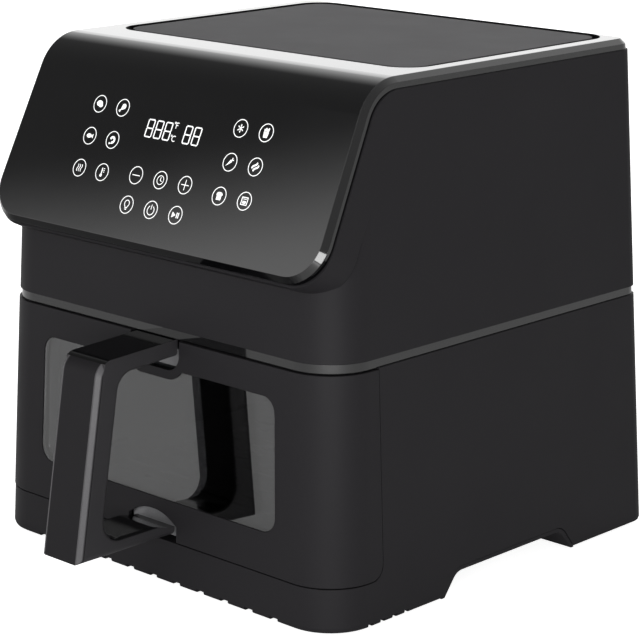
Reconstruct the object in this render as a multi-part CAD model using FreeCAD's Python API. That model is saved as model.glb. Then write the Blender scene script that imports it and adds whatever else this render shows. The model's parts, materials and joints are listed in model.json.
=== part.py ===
"""Drawer air fryer: drafted housing, bent control fascia, windowed drawer, lift-out crisper plate, heater and fan.

Millimetres. +X is the user's right, the drawer pulls out along -Y and +Z is up. The pieces are drawn with z = 0 at
the underside of the base plate and y = 0 at the middle of the body's footprint. save() then moves them so that the
origin is under the middle of the whole part, on the surface that its feet stand on.
"""
import FreeCAD, Part
import math
import os

V = FreeCAD.Vector

# Body envelope
body_width = 304.0          # at the base
body_depth = 298.0          # at the base, without the handle
body_height = 316.0         # top of the fascia above the base plate's underside
side_draft = 0.037          # inward lean of each side wall per mm of height
front_draft = 0.039
rear_draft = 0.044
front_corner_r = 31.0
rear_corner_r = 11.0
wall = 2.5                  # moulded walls
seat_gap = 0.3              # running clearance between pieces that move on each other
panel_gap = 0.9             # visible seam round the drawer front

# Levels
skirt_z = 2.5               # lower edge of the housing, above the base plate's underside
bay_z = 26.6                # lower edge of the drawer bay
band_z = 152.7              # underside of the trim band
band_height = 5.5
band_inset = 1.2
band_width = 5.0
bay_depth = 44.4            # drawer front wraps this far back from the base's front edge
bay_corner_r = 9.0

# Control fascia
fascia_tilt = 25.7          # lean of the control face from the vertical, degrees
fascia_overhang = 5.0       # control face's lower edge, ahead of the base's front edge
fascia_height = 106.2       # upright height of the cover, from that edge to its top
fascia_shoulder_r = 32.0
fascia_thickness = 2.6
fascia_edge = 3.2           # bevel round the fascia
fascia_inset = 1.2          # fascia's rim inside the body's side walls
fascia_corner_r = 25.0      # lower corners of the control face
rim_depth = 6.7             # turned-down rim, from the fascia's face to its edge
rim_width = 4.0
backing_depth = 26.0        # moulding behind the fascia that carries its overhang

# Top inlay
inlay_side_margin = 18.3    # top beyond each side of the inlay
inlay_setback = 94.2        # inlay's front edge behind the base's front edge
inlay_rear_margin = 10.0    # top behind the inlay
inlay_corner_r = 14.0
inlay_sunk = 0.4
inlay_gap = 5.0             # shadow groove round the inlay

# Drawer front
front_proud = 0.4
window_margin = 8.9         # tub beyond each side of the window, at its middle
window_rise = 25.7          # window's lower edge above the drawer bay's
window_drop = 19.0          # window's upper edge below the trim band
window_corner_r = 10.0
window_overlap = 6.0        # glass held behind the front's opening
glass_thickness = 3.5       # rim of the glass, behind the drawer front
glass_recess = 0.4          # glass behind the drawer front's face
gasket_thickness = 0.8
notch_width = 42.6
notch_drop = 19.7           # floor of the upper notch below the trim band
notch_corner_r = 10.0
notch_lip = 5.5
low_notch_side = 10.4       # lower notch's side and crown above the drawer bay's lower edge
low_notch_crown = 17.9
striker_width = 8.0
seal_inset = 1.0            # window seal and tub opening outside the window

# Drawer tub
tub_side_gap = 8.0          # between the tub and the cavity's sides
tub_setback = 12.5          # tub's front wall behind the base's front edge
tub_rear_gap = 15.0         # between the tub and the cavity's rear
tub_lift = 5.2              # tub's floor above the cavity's
tub_drop = 5.2              # tub's rim below the trim band
tub_wall = 1.2
tub_sill = 6.0              # depth of the tub's front that the window opening cuts
tub_corner_r = 26.0
tub_floor_r = 7.0
tub_rim = 3.5

# Handle
handle_width = 33.5
handle_drop = 3.2           # handle's top below the trim band
handle_climb = 2.7          # upper arm rises to the drawer front
handle_rise = 3.9           # handle's foot above the drawer bay's lower edge
handle_top_reach = 52.5     # front of the grip at its top, ahead of the base's front edge
handle_low_reach = 72.5     # front of the grip at its foot
handle_top_arm = 10.3
handle_low_arm = 9.1
grip_depth = 17.5
grip_shell = 4.0            # soft shell on the front of the grip
grip_bevel = 2.2
accent_thickness = 1.0
handle_round = 12.0
foot_corner_r = 4.0         # lower side edges of the handle
loop_round = 2.5            # side edges inside the handle's loop
bracket_depth = 3.5         # handle's roots ahead of the tub
bracket_sunk = 2.8          # brackets behind the drawer front's face
bracket_width = 40.0
handle_screw_d = 3.0
handle_screw_head_d = 5.1
handle_screw_rise = 3.3     # lower screws above the handle's foot
handle_screw_grip = 8.0     # thread length in the handle

# Crisper plate
plate_thickness = 2.0
plate_margin = 5.0          # free all round inside the tub
plate_height = 10.0         # above the tub's floor
bumper_width = 16.0
bumper_height = 6.0
slot_length = 26.0
slot_width = 5.0
slot_pitch_x = 34.0
slot_pitch_y = 13.0
lift_hole_d = 26.0

# Cavity
cavity_side_room = 32.0     # between the cavity and the base's side edges
cavity_rear_room = 30.0     # between the cavity and the base's rear edge
liner_sheet = 1.0
liner_lift = 2.9            # cavity's underside above the drawer bay's lower edge
liner_roof_z = 206.0
liner_corner_r = 34.0
mouth_drop = 2.7            # top of the cavity's mouth below the trim band
rail_width = 12.0
rail_inset = 22.0           # middle of each rail inside the tub's side

# Fan, heater and motor, all on one axis
axis_y = 0.0
shaft_d = 8.0
shaft_hole_d = 16.0
fan_drop = 26.0             # underside of the fan, middle of the heater and guard below the cavity's roof
element_drop = 38.0
guard_drop = 51.0
fan_gap = 2.5               # between the fan's rim and the heater, seen from above
fan_height = 16.0
fan_blades = 10
fan_lean = 24.0             # blades from the radius, degrees
fan_sheet = 1.2
blade_gap = 2.0             # blades short of the hub and the rim
hub_d = 22.0
nut_d = 15.0
nut_height = 4.0
element_tube_d = 7.0
element_inset = 8.1         # middle of the outer half turn inside the guard's rim
element_step = 8.0          # growth of radius each half turn
element_half_turns = 5
terminal_d = 6.0
terminal_out = 14.0         # terminal standing above the roof
terminal_collar_d = 10.0
strap = 2.0
strap_width = 8.0
guard_gap = 3.0             # between the guard's rim and the cavity's walls
guard_bar = 2.4
guard_rings = 5
motor_d = 66.0
motor_height = 34.0
motor_plate = 2.0
motor_plate_inset = 5.0     # plate's rim inside the duct's
shaft_end_gap = 5.0
cooling_gap = 5.5           # between the cooling wheel and the inner heater terminal
cooling_lift = 4.3          # cooling wheel above the roof
cooling_fan_height = 12.0
cooling_blades = 12
cooling_lean = -20.0
duct_height = 23.0
duct_wall = 1.5
duct_gap = 3.0              # between the duct and the supply board or the outer heater terminal
duct_width = 112.0
grille_width = 124.0
grille_low_z = 201.0
grille_high_z = 237.0
grille_slats = 13
grille_frame = 5.0
slat_thickness = 2.2
slat_reach = 1.0            # slats run this far past the grille's opening

# Base
base_inset = 0.4
base_round = 1.8            # lower edge of the base
base_rim = 2.0              # height of the spigot inside the housing
foot_d = 18.0
foot_height = 2.0
foot_recess = 1.2
foot_inset = 34.0
tooth_width = 7.0
tooth_depth = 2.2
tooth_pitch_front = 20.8
side_tooth_width = 4.2
side_tooth_count = 4
tooth_pitch_side = 10.4
hold_length = 129.0         # side hand-hold, along the base
hold_middle_y = 9.5
hold_height = 16.5
hold_depth = 80.0
hold_end_run = 12.5         # slope at each end
hold_corner_r = 13.0
hold_lip = 2.8              # pocket inside the housing's cut-out
vent_length = 46.0
vent_width = 4.0
vent_count = 7
vent_pitch = 12.0
screw_d = 4.0
screw_head_d = 8.0
screw_head = 2.0
boss_d = 9.0

# Controls
board_thickness = 1.6
board_gap = 12.0            # control board behind the fascia's back
board_width = 176.0
board_height = 84.0
board_margin = 3.0          # board overlaps its opening in the housing
board_middle = 55.0         # up the control face from its foot
display_width = 66.0
display_height = 24.0
display_up = 69.0
key_d = 9.0
key_outer_x = 71.8          # two columns of keys at each side
key_inner_x = 51.0
key_top = 78.5              # upper row, up the control face from its foot
key_row_pitch = 20.6
key_row_count = 3
middle_key_pitch = 21.3     # three columns under the display
middle_key_top = 39.6
middle_row_pitch = 18.5
middle_row_count = 2

# Electrics over the cavity
power_board_width = 51.0
power_board_length = 44.0
part_gap = 3.0              # round each part on the supply board
relay_width = 16.0
relay_length = 20.0
relay_height = 16.0
transformer_width = 24.0
transformer_length = 22.0
transformer_height = 22.0
capacitor_d = 13.0
capacitor_height = 22.0
standoff_d = 7.0
standoff_height = 8.0
lamp_d = 26.0
lamp_side_room = 32.0       # lamp's middle inside the cavity's side
lamp_front_room = 40.1      # lamp's middle behind the cavity's front
lamp_holder_wall = 5.0
lamp_holder_height = 18.0
lamp_holder_roof = 4.0
lamp_lip = 2.0
sensor_side_room = 36.0     # probe and fuse inside the cavity's sides and rear
sensor_rear_room = 53.0
probe_d = 5.0
probe_length = 30.0
probe_in = 18.0
probe_flange_d = 14.0
fuse_d = 5.0
fuse_length = 20.0
fuse_sunk = 0.5             # fuse's body in its clamp
clamp_length = 24.0
clamp_width = 10.0
clamp_sheet = 2.0

# Drawer switch and cord gland
switch_z = 100.0
switch_inset = 17.3         # switch's middle inside the body's side
switch_width = 10.0
switch_depth = 16.0
switch_height = 20.0
plunger_d = 4.0
plunger_out = 1.5
plunger_in = 6.0
plunger_room = 10.0
gland_d = 18.0
gland_flange = 3.0
gland_barrel = 15.0
gland_bore = 7.5
gland_mouth_d = 9.6
gland_mouth = 4.5           # depth of the wide mouth inside the housing
gland_side_room = 56.0      # gland's middle inside the base's side edge
gland_z = 44.0

# Worked out from the sizes above
tilt = math.radians(fascia_tilt)
up_y = math.sin(tilt)
up_z = math.cos(tilt)
far = body_width + body_depth
base_front_y = -body_depth / 2
seam_y = base_front_y + bay_depth
band_top_z = band_z + band_height
fascia_foot_y = base_front_y - fascia_overhang
fascia_foot_z = body_height - fascia_height
inlay_front_y = base_front_y + inlay_setback
inlay_width = body_width - 2 * side_draft * body_height - 2 * inlay_side_margin
liner_width = body_width - 2 * cavity_side_room
liner_front_y = seam_y + wall
liner_rear_y = body_depth / 2 - cavity_rear_room
liner_floor_z = bay_z + liner_lift
mouth_high_z = band_z - mouth_drop
tub_width = liner_width - 2 * tub_side_gap
tub_front_y = base_front_y + tub_setback
tub_rear_y = liner_rear_y - tub_rear_gap
tub_floor_z = liner_floor_z + tub_lift
tub_rim_z = band_z - tub_drop
window_width = tub_width - 2 * window_margin
window_low_z = bay_z + window_rise
window_high_z = band_z - window_drop
notch_low_z = band_z - notch_drop
low_notch_side_z = bay_z + low_notch_side
low_notch_top_z = bay_z + low_notch_crown
handle_top_z = band_z - handle_drop
handle_low_z = bay_z + handle_rise
handle_top_y = base_front_y - handle_top_reach
handle_low_y = base_front_y - handle_low_reach
handle_root_y = tub_front_y - bracket_depth
striker_x = body_width / 2 - side_draft * switch_z - switch_inset
fan_z = liner_roof_z - fan_drop
element_z = liner_roof_z - element_drop
guard_z = liner_roof_z - guard_drop
guard_reach = min(axis_y - liner_front_y, liner_width / 2) - liner_sheet - guard_gap
guard_d = 2 * guard_reach
element_last_r = guard_reach - element_inset
element_r = element_last_r - element_step * (element_half_turns - 1)
fan_d = 2 * (element_r - element_tube_d / 2 - fan_gap)
power_board_x = -liner_width / 2 + boss_d
power_board_y = liner_front_y + boss_d
board_corner_r = math.hypot(power_board_x + power_board_width, power_board_y + power_board_length)
duct_d = 2 * (min(board_corner_r, element_last_r - terminal_collar_d / 2) - duct_gap)
motor_plate_z = liner_roof_z + duct_height
motor_plate_d = duct_d - 2 * motor_plate_inset
motor_z = motor_plate_z + motor_plate
cooling_fan_d = 2 * (element_r - terminal_collar_d / 2 - cooling_gap)
lamp_x = liner_width / 2 - lamp_side_room
lamp_y = liner_front_y + lamp_front_room
sensor_x = liner_width / 2 - sensor_side_room
sensor_y = liner_rear_y - sensor_rear_room
gland_x = body_width / 2 - gland_side_room
part_front_y = min(handle_low_y, handle_top_y, fascia_foot_y)
shift = V(0, -(part_front_y + body_depth / 2) / 2, foot_height)


def save(name, shape):
    """Moves a finished piece to the part's own origin and writes it."""
    placed = shape.copy()
    placed.translate(shift)
    placed.exportStep("parts/" + name + ".step")


def box(x0, x1, y0, y1, z0, z1):
    return Part.makeBox(x1 - x0, y1 - y0, z1 - z0, V(x0, y0, z0))


def rod(diameter, height, x, y, z, axis=V(0, 0, 1)):
    return Part.makeCylinder(diameter / 2, height, V(x, y, z), axis)


def tube(outer_d, inner_d, height, x, y, z):
    return rod(outer_d, height, x, y, z).cut(rod(inner_d, height, x, y, z))


def fuse(shapes):
    first = shapes[0]
    if len(shapes) == 1:
        return first
    return first.multiFuse(shapes[1:]).removeSplitter()


def group(shapes):
    return Part.makeCompound(shapes)


def mirror_x(shape):
    return shape.mirror(V(0, 0, 0), V(1, 0, 0))


def prism(points, direction):
    """Solid swept from a closed polygon."""
    return Part.Face(Part.makePolygon(points + points[:1])).extrude(direction)


def round_rect(width, height, r):
    """Closed outline about the origin in the plane z = 0, with round corners of just under half its short side at
    most."""
    x = width / 2
    y = height / 2
    r = min(r, 0.499 * min(width, height))
    c = r * (1 - math.sqrt(0.5))
    edges = []
    corners = [(x, -y, 1, -1), (x, y, 1, 1), (-x, y, -1, 1), (-x, -y, -1, -1)]
    stops = []
    for cx, cy, sx, sy in corners:
        along_x = V(cx - sx * r, cy, 0)
        along_y = V(cx, cy - sy * r, 0)
        middle = V(cx - sx * c, cy - sy * c, 0)
        stops.append((along_x, middle, along_y) if sx * sy < 0 else (along_y, middle, along_x))
    for i, (start, middle, end) in enumerate(stops):
        edges.append(Part.Arc(start, middle, end).toShape())
        edges.append(Part.LineSegment(end, stops[(i + 1) % 4][0]).toShape())
    return Part.Wire(edges)


def round_slab(width, height, r, thickness, x, y, z):
    """Round-cornered slab lying flat, its middle at x, y and its underside at z."""
    slab = Part.Face(round_rect(width, height, r)).extrude(V(0, 0, thickness))
    slab.translate(V(x, y, z))
    return slab


def front_prism(width, low_z, high_z, r, y0, y1):
    """Round-cornered bar along Y, for openings in the front."""
    bar = Part.Face(round_rect(width, high_z - low_z, r)).extrude(V(0, 0, y1 - y0))
    bar.rotate(V(0, 0, 0), V(1, 0, 0), -90)
    bar.translate(V(0, y0, (low_z + high_z) / 2))
    return bar


# Drafted body

def half_width(z):
    return body_width / 2 - side_draft * z


def front_y(z):
    return base_front_y + front_draft * z


def rear_y(z):
    return body_depth / 2 - rear_draft * z


def draft_block(z0, z1, inset=0.0, front=None):
    """Body outline between two levels, with drafted walls and round upright edges. With front given, the block
    runs forward to that y and keeps its front edges sharp."""
    x0, x1 = half_width(z0) - inset, half_width(z1) - inset
    rear0, rear1 = rear_y(z0) - inset, rear_y(z1) - inset
    front0 = front_y(z0) + inset if front is None else front
    front1 = front_y(z1) + inset if front is None else front
    block = Part.makeWedge(-x0, z0, -rear0, -rear1, -x1, x0, z1, -front0, -front1, x1)
    block.rotate(V(0, 0, 0), V(1, 0, 0), 90)
    rear_edges = []
    front_edges = []
    for edge in block.Edges:
        first, last = edge.Vertexes[0].Point, edge.Vertexes[-1].Point
        if abs(first.z - last.z) > (z1 - z0) / 2:
            (rear_edges if first.y > 0 else front_edges).append(edge)
    block = block.makeFillet(rear_corner_r - inset, rear_edges)
    if front is None:
        middles = [edge.CenterOfMass for edge in front_edges]
        found = [edge for edge in block.Edges if any(edge.CenterOfMass.distanceToPoint(m) < 0.01 for m in middles)]
        block = block.makeFillet(front_corner_r - inset, found)
    return block


# Bent control fascia

def panel_point(x, s, depth=0.0):
    """Point on the control face: x across, s up the face from its foot, and depth mm behind it."""
    y = fascia_foot_y + up_y * s + up_z * depth
    z = fascia_foot_z + up_z * s - up_y * depth
    return V(x, y, z)


def bent_path(depth, s_low, rear):
    """Side profile depth mm behind the outer face: foot, shoulder start, middle and end, and rear end."""
    corner_s = (body_height - fascia_foot_z) / up_z
    corner_y = fascia_foot_y + up_y * corner_s
    turn = math.pi / 2 - tilt
    run = fascia_shoulder_r * math.tan(turn / 2)
    centre = V(0, corner_y + run, body_height - fascia_shoulder_r)
    r = fascia_shoulder_r - depth
    aim = tilt + turn / 2
    start = centre + V(0, -r * math.cos(tilt), r * math.sin(tilt))
    middle = centre + V(0, -r * math.cos(aim), r * math.sin(aim))
    end = centre + V(0, 0, r)
    return panel_point(0, s_low, depth), start, middle, end, V(0, rear, body_height - depth)


def path_edges(path):
    foot, start, middle, end, rear = path
    return [Part.LineSegment(foot, start).toShape(), Part.Arc(start, middle, end).toShape(),
            Part.LineSegment(end, rear).toShape()]


def across(edges):
    """Sweeps a closed side profile over more than the full width."""
    bar = Part.Face(Part.Wire(edges)).extrude(V(2 * far, 0, 0))
    bar.translate(V(-far, 0, 0))
    return bar


def bent_slab(depth0, depth1, s_low):
    """Bent sheet between two depths, running from s_low on the control face back over the top."""
    outer = bent_path(depth0, s_low, far)
    inner = bent_path(depth1, s_low, far)
    edges = path_edges(outer)
    edges.append(Part.LineSegment(outer[-1], inner[-1]).toShape())
    edges += path_edges(inner)
    edges.append(Part.LineSegment(inner[0], outer[0]).toShape())
    return across(Part.__sortEdges__(edges))


def behind(depth, s_low, low_z):
    """Everything behind the bent profile at a depth, down to low_z."""
    path = bent_path(depth, s_low, far)
    ring = [path[-1], V(0, far, low_z), V(0, -far, low_z), V(0, -far, path[0].z), path[0]]
    edges = path_edges(path)
    for first, last in zip(ring, ring[1:]):
        edges.append(Part.LineSegment(first, last).toShape())
    return across(Part.__sortEdges__(edges))


def fascia_outline(depth0, depth1, s_low, inset, corner_r):
    """Bent sheet trimmed to the body's sides and rear, with round lower corners."""
    low = panel_point(0, s_low, depth1).z - wall
    slab = bent_slab(depth0, depth1, s_low).common(draft_block(low, body_height, inset, -far))
    foot = (panel_point(0, s_low, depth0) + panel_point(0, s_low, depth1)) / 2
    corners = []
    for edge in slab.Edges:
        middle = edge.CenterOfMass
        if V(0, middle.y, middle.z).distanceToPoint(foot) < 0.2 and abs(middle.x) > body_width / 4:
            corners.append(edge)
    return slab.makeFillet(corner_r, corners)


def inlay_slab(gap, low, high):
    rear = rear_y(body_height) - inlay_rear_margin
    length = rear - inlay_front_y
    return round_slab(inlay_width + 2 * gap, length + 2 * gap, inlay_corner_r + gap, high - low, 0,
                      inlay_front_y + length / 2, low)


def make_fascia():
    """Gloss cover with a turned-down rim: slanted face, round shoulder and the frame round the top inlay."""
    blank = fascia_outline(0, rim_depth, -fascia_edge, fascia_inset, fascia_corner_r)
    cover = blank.makeChamfer(fascia_edge, rim_edges(blank, 0, fascia_inset))
    pocket = inlay_slab(inlay_gap, body_height - 2 * fascia_thickness, body_height + 1)
    save("control_fascia", cover.cut(fascia_seat(0, rim_depth + wall)).cut(pocket))


def fascia_seat(gap, depth):
    """Space inside the fascia's rim, from the back of its face to a depth."""
    return fascia_outline(fascia_thickness, depth, rim_width + gap - fascia_edge, fascia_inset + rim_width + gap,
                          fascia_corner_r - rim_width)


def make_inlay():
    low = body_height - fascia_thickness
    save("top_inlay", inlay_slab(0, low, body_height - inlay_sunk))


def panel_block(x, s, width, height, depth0, depth1):
    """Block square to the control face."""
    block = Part.makeBox(width, height, depth1 - depth0, V(-width / 2, -height / 2, -depth1))
    block.rotate(V(0, 0, 0), V(1, 0, 0), 90 - fascia_tilt)
    block.translate(panel_point(x, s))
    return block


def panel_rod(x, s, diameter, depth0, depth1):
    return Part.makeCylinder(diameter / 2, depth1 - depth0, panel_point(x, s, depth0), V(0, up_z, -up_y))


def key_places():
    """Middles of the touch keys on the control face: x across and s up from its foot."""
    places = []
    for row in range(key_row_count):
        for x in (-key_outer_x, -key_inner_x, key_inner_x, key_outer_x):
            places.append((x, key_top - row * key_row_pitch))
    for row in range(middle_row_count):
        for column in (-1, 0, 1):
            places.append((column * middle_key_pitch, middle_key_top - row * middle_row_pitch))
    return places


def rim_edges(solid, depth, inset):
    """Edges along both sides of a bent face that lies depth mm behind the fascia's face."""
    found = []
    for edge in solid.Edges:
        middle = edge.CenterOfMass
        at_side = abs(abs(middle.x) - half_width(middle.z) + inset) < 0.05
        s = (middle - panel_point(middle.x, 0, depth)).dot(V(0, up_y, up_z))
        on_face = middle.distanceToPoint(panel_point(middle.x, s, depth)) < 0.05
        if at_side and on_face:
            found.append(edge)
    return found


def make_upper_housing():
    """Upper shell with the moulding that carries the fascia's overhang."""
    low_s = -fascia_edge - fascia_inset
    block = draft_block(band_top_z, body_height).common(behind(rim_depth, low_s, band_top_z - 1))
    backing = fascia_outline(rim_depth, backing_depth, low_s, 0, fascia_corner_r)
    shell = fuse([block, backing, fascia_seat(seat_gap, rim_depth)])
    step = fascia_inset + rim_width + seat_gap
    for inset, depth in ((wall, rim_depth + wall), (step + wall, fascia_thickness + wall)):
        hollow = draft_block(band_top_z - 1, body_height, inset)
        shell = shell.cut(hollow.common(behind(depth, fascia_corner_r, band_top_z - 2)))
    reach = fascia_thickness + board_gap
    shell = shell.cut(panel_block(0, board_middle, board_width - 2 * board_margin, board_height - 2 * board_margin,
                                  0, reach))
    save("upper_housing", shell.cut(grille_opening(0)))


# Lower housing, base and trim

def bay_box(gap):
    """Space in front of the drawer seam, with its lower rear edge rounded."""
    bay = box(-far, far, -far, seam_y - gap, bay_z + gap, body_height)
    for edge in bay.Edges:
        middle = edge.CenterOfMass
        if abs(middle.y - (seam_y - gap)) < 0.01 and abs(middle.z - (bay_z + gap)) < 0.01:
            return bay.makeFillet(bay_corner_r, [edge])


def hold_prism(side, grow):
    """Side hand-hold recess, grown all round."""
    half = hold_length / 2 + grow
    top = hold_height + grow
    x0 = half_width(0) - hold_depth - grow
    points = [V(x0, hold_middle_y - half, -1), V(x0, hold_middle_y + half, -1),
              V(x0, hold_middle_y + half - hold_end_run, top), V(x0, hold_middle_y - half + hold_end_run, top)]
    solid = prism(points, V(hold_depth + grow + 2 * wall, 0, 0))
    crown = [edge for edge in solid.Edges if abs(edge.CenterOfMass.z - top) < 0.01 and edge.Length < far / 2
             and abs(edge.Vertexes[0].Point.x - edge.Vertexes[-1].Point.x) > 1]
    solid = solid.makeFillet(hold_corner_r + grow, crown)
    return solid if side > 0 else mirror_x(solid)


def make_lower_housing():
    """Skirt, side and rear walls, and the bulkhead behind the drawer front."""
    outer = draft_block(skirt_z, band_z)
    shell = outer.cut(draft_block(skirt_z - 1, band_z + 1, wall)).cut(bay_box(0))
    bulkhead = outer.common(box(-far, far, seam_y, seam_y + wall, bay_z - wall, band_z))
    mouth_half = liner_width / 2 - liner_sheet
    mouth = box(-mouth_half, mouth_half, seam_y - 1, seam_y + wall + 1, liner_floor_z + liner_sheet, mouth_high_z)
    plunger_hole = rod(plunger_d + 2 * seat_gap, 2 * wall, striker_x, seam_y - wall / 2, switch_z, V(0, 1, 0))
    bulkhead = bulkhead.cut(mouth).cut(plunger_hole)
    deck = outer.common(box(-far, far, -far, seam_y + wall, bay_z - wall, bay_z))
    shell = fuse([shell, bulkhead, deck])
    for side in (-1, 1):
        shell = shell.cut(hold_prism(side, 0))
    gland_hole = rod(gland_d - 2 * wall, far, gland_x, 0, gland_z, V(0, 1, 0))
    save("lower_housing", shell.cut(gland_hole))


def foot_places():
    x = half_width(0) - foot_inset
    return [(sx * x, sy * (body_depth / 2 - foot_inset)) for sx in (-1, 1) for sy in (-1, 1)]


def screw_places():
    x = half_width(0) - foot_inset - foot_d
    return [(sx * x, sy * (body_depth / 2 - foot_inset)) for sx in (-1, 1) for sy in (-1, 1)]


def tooth_bars():
    """Bars that notch the base plate's rim, along the front and the front of each side."""
    bars = []
    front = base_front_y
    count = int((body_width / 2 - front_corner_r) / tooth_pitch_front)
    for i in range(-count, count + 1):
        x = i * tooth_pitch_front
        bars.append(box(x - tooth_width / 2, x + tooth_width / 2, front - 1, front + 3 * wall, -1, tooth_depth))
    for i in range(side_tooth_count):
        y = front + front_corner_r + i * tooth_pitch_side
        for side in (-1, 1):
            x = side * body_width / 2
            bars.append(box(x - 3 * wall, x + 3 * wall, y, y + side_tooth_width, -1, tooth_depth))
    return bars


def make_base():
    """Base plate with its spigot, rim notches, intake vents, foot recesses and hand-hold pockets."""
    plate = draft_block(0, skirt_z, base_inset)
    plate = plate.makeFillet(base_round, lower_edges(plate, 0))
    spigot = draft_block(skirt_z, skirt_z + base_rim, wall + seat_gap)
    spigot = spigot.cut(draft_block(skirt_z - 1, skirt_z + base_rim + 1, 2 * wall + seat_gap))
    pieces = [plate, spigot]
    for side in (-1, 1):
        pieces.append(hold_prism(side, -seat_gap).common(draft_block(0, hold_height, base_inset)))
    base = fuse(pieces)
    cuts = tooth_bars()
    for side in (-1, 1):
        cuts.append(hold_prism(side, -hold_lip))
    for x, y in foot_places():
        cuts.append(rod(foot_d, foot_recess, x, y, 0))
    for x, y in screw_places():
        cuts.append(rod(screw_d, far, x, y, -1))
        cuts.append(rod(screw_head_d, screw_head, x, y, 0))
    for i in range(vent_count):
        x = (i - (vent_count - 1) / 2) * vent_pitch
        cuts.append(round_slab(vent_width, vent_length, vent_width / 2, far, x, axis_y, -1))
    save("base_plate", base.cut(cuts))
    feet = [rod(foot_d, foot_height + foot_recess, x, y, -foot_height) for x, y in foot_places()]
    save("rubber_feet", group(feet))
    length = skirt_z + base_rim
    screws = []
    for x, y in screw_places():
        screws.append(rod(screw_head_d, screw_head, x, y, 0).fuse(rod(screw_d, length, x, y, 0)))
    save("base_screws", group(screws))


def make_trim_band():
    ring = draft_block(band_z, band_top_z, band_inset)
    save("trim_band", ring.cut(draft_block(band_z - 1, band_top_z + 1, band_inset + band_width)))


# Drawer

def notch_prism(grow):
    """Top notch that the handle's upper arm passes through."""
    return front_prism(notch_width + 2 * grow, notch_low_z - grow, body_height, notch_corner_r + grow,
                       -body_depth, tub_front_y)


def low_notch_prism():
    """Dome-topped notch round the handle's lower arm."""
    x = notch_width / 2
    y = -body_depth
    left, right = V(-x, y, low_notch_side_z), V(x, y, low_notch_side_z)
    edges = [Part.LineSegment(V(-x, y, 0), left), Part.Arc(left, V(0, y, low_notch_top_z), right),
             Part.LineSegment(right, V(x, y, 0)), Part.LineSegment(V(x, y, 0), V(-x, y, 0))]
    face = Part.Face(Part.Wire([edge.toShape() for edge in edges]))
    return face.extrude(V(0, handle_root_y - y, 0))


def window_prism(grow):
    """Window outline, whose sides lean with the body's."""
    low, high = window_low_z - grow, window_high_z + grow
    half = window_width / 2 + grow
    lean = side_draft * (high - low) / 2
    y = -body_depth
    points = [V(-half - lean, y, low), V(half + lean, y, low), V(half - lean, y, high), V(lean - half, y, high)]
    bar = prism(points, V(0, body_depth, 0))
    corners = [edge for edge in bar.Edges if abs(edge.Vertexes[0].Point.y - edge.Vertexes[-1].Point.y) > 1]
    return bar.makeFillet(window_corner_r + grow, corners)


def front_layer(depth0, depth1):
    """Layer of the drafted front between two depths behind the drawer front's face."""
    low = bay_z + panel_gap
    high = band_z - panel_gap
    return draft_block(low, high, depth0 - front_proud).cut(draft_block(low - 1, high + 1, depth1 - front_proud))


def make_drawer_front():
    """Moulded cover that wraps both front corners, with the window, two handle notches and the switch striker."""
    low = bay_z + panel_gap
    high = band_z - panel_gap
    cover = draft_block(low, high, -front_proud).common(bay_box(panel_gap))
    cover = cover.cut(draft_block(low + wall, high - wall, wall - front_proud))
    cover = cover.cut(window_prism(0).cut(notch_prism(notch_lip)))
    cover = cover.cut(notch_prism(0)).cut(low_notch_prism())
    half = striker_width / 2
    inner = half_width(switch_z) - wall
    striker = box(striker_x - half, inner, seam_y - bay_depth / 2, seam_y - plunger_out - seat_gap,
                  switch_z - half, switch_z + half)
    save("drawer_front", fuse([cover, striker]))


def make_window():
    back = wall + gasket_thickness
    opening = window_prism(window_overlap).cut(notch_prism(notch_lip - wall))
    sight = window_prism(0).cut(notch_prism(notch_lip))
    near = box(-far, far, -far, tub_front_y, 0, body_height)
    gasket = front_layer(wall, back).common(opening).cut(sight).common(near)
    rim = front_layer(back, back + glass_thickness).common(opening).common(near)
    face = front_layer(glass_recess, back).common(window_prism(-seat_gap)).cut(notch_prism(notch_lip + seat_gap))
    save("window_gasket", gasket)
    save("window_glass", fuse([rim, face]))
    seal = window_prism(window_overlap).cut(window_prism(seal_inset)).cut(notch_prism(notch_lip - wall))
    seal = seal.common(near).common(draft_block(bay_z, band_z, back + glass_thickness - front_proud))
    save("tub_seal", seal)


def tub_middle_y():
    return (tub_front_y + tub_rear_y) / 2


def tub_slab(inset, z0, z1):
    return round_slab(tub_width - 2 * inset, tub_rear_y - tub_front_y - 2 * inset, tub_corner_r - inset, z1 - z0,
                      0, tub_middle_y(), z0)


def lower_edges(solid, z):
    return [edge for edge in solid.Edges if edge.BoundBox.ZMax - z < 0.01]


def make_tub():
    """Pressed tub with a rolled rim, round floor edges and a window opening in its front wall."""
    body = tub_slab(0, tub_floor_z, tub_rim_z)
    body = body.makeFillet(tub_floor_r, lower_edges(body, tub_floor_z))
    hollow = tub_slab(tub_wall, tub_floor_z + tub_wall, tub_rim_z + 1)
    hollow = hollow.makeFillet(tub_floor_r - tub_wall, lower_edges(hollow, tub_floor_z + tub_wall))
    rim = tub_slab(-tub_rim, tub_rim_z - tub_wall, tub_rim_z)
    front_trim = box(-far, far, -far, tub_front_y, 0, body_height)
    tub = body.fuse(rim.cut(front_trim)).cut(hollow).removeSplitter()
    sill = notch_prism(notch_lip)
    sill.translate(V(0, tub_sill, 0))
    front = box(-far, far, -far, tub_front_y + tub_sill, 0, far)
    tub = tub.cut(window_prism(seal_inset).cut(sill).common(front))
    save("drawer_tub", tub.cut(handle_screws()))


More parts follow.
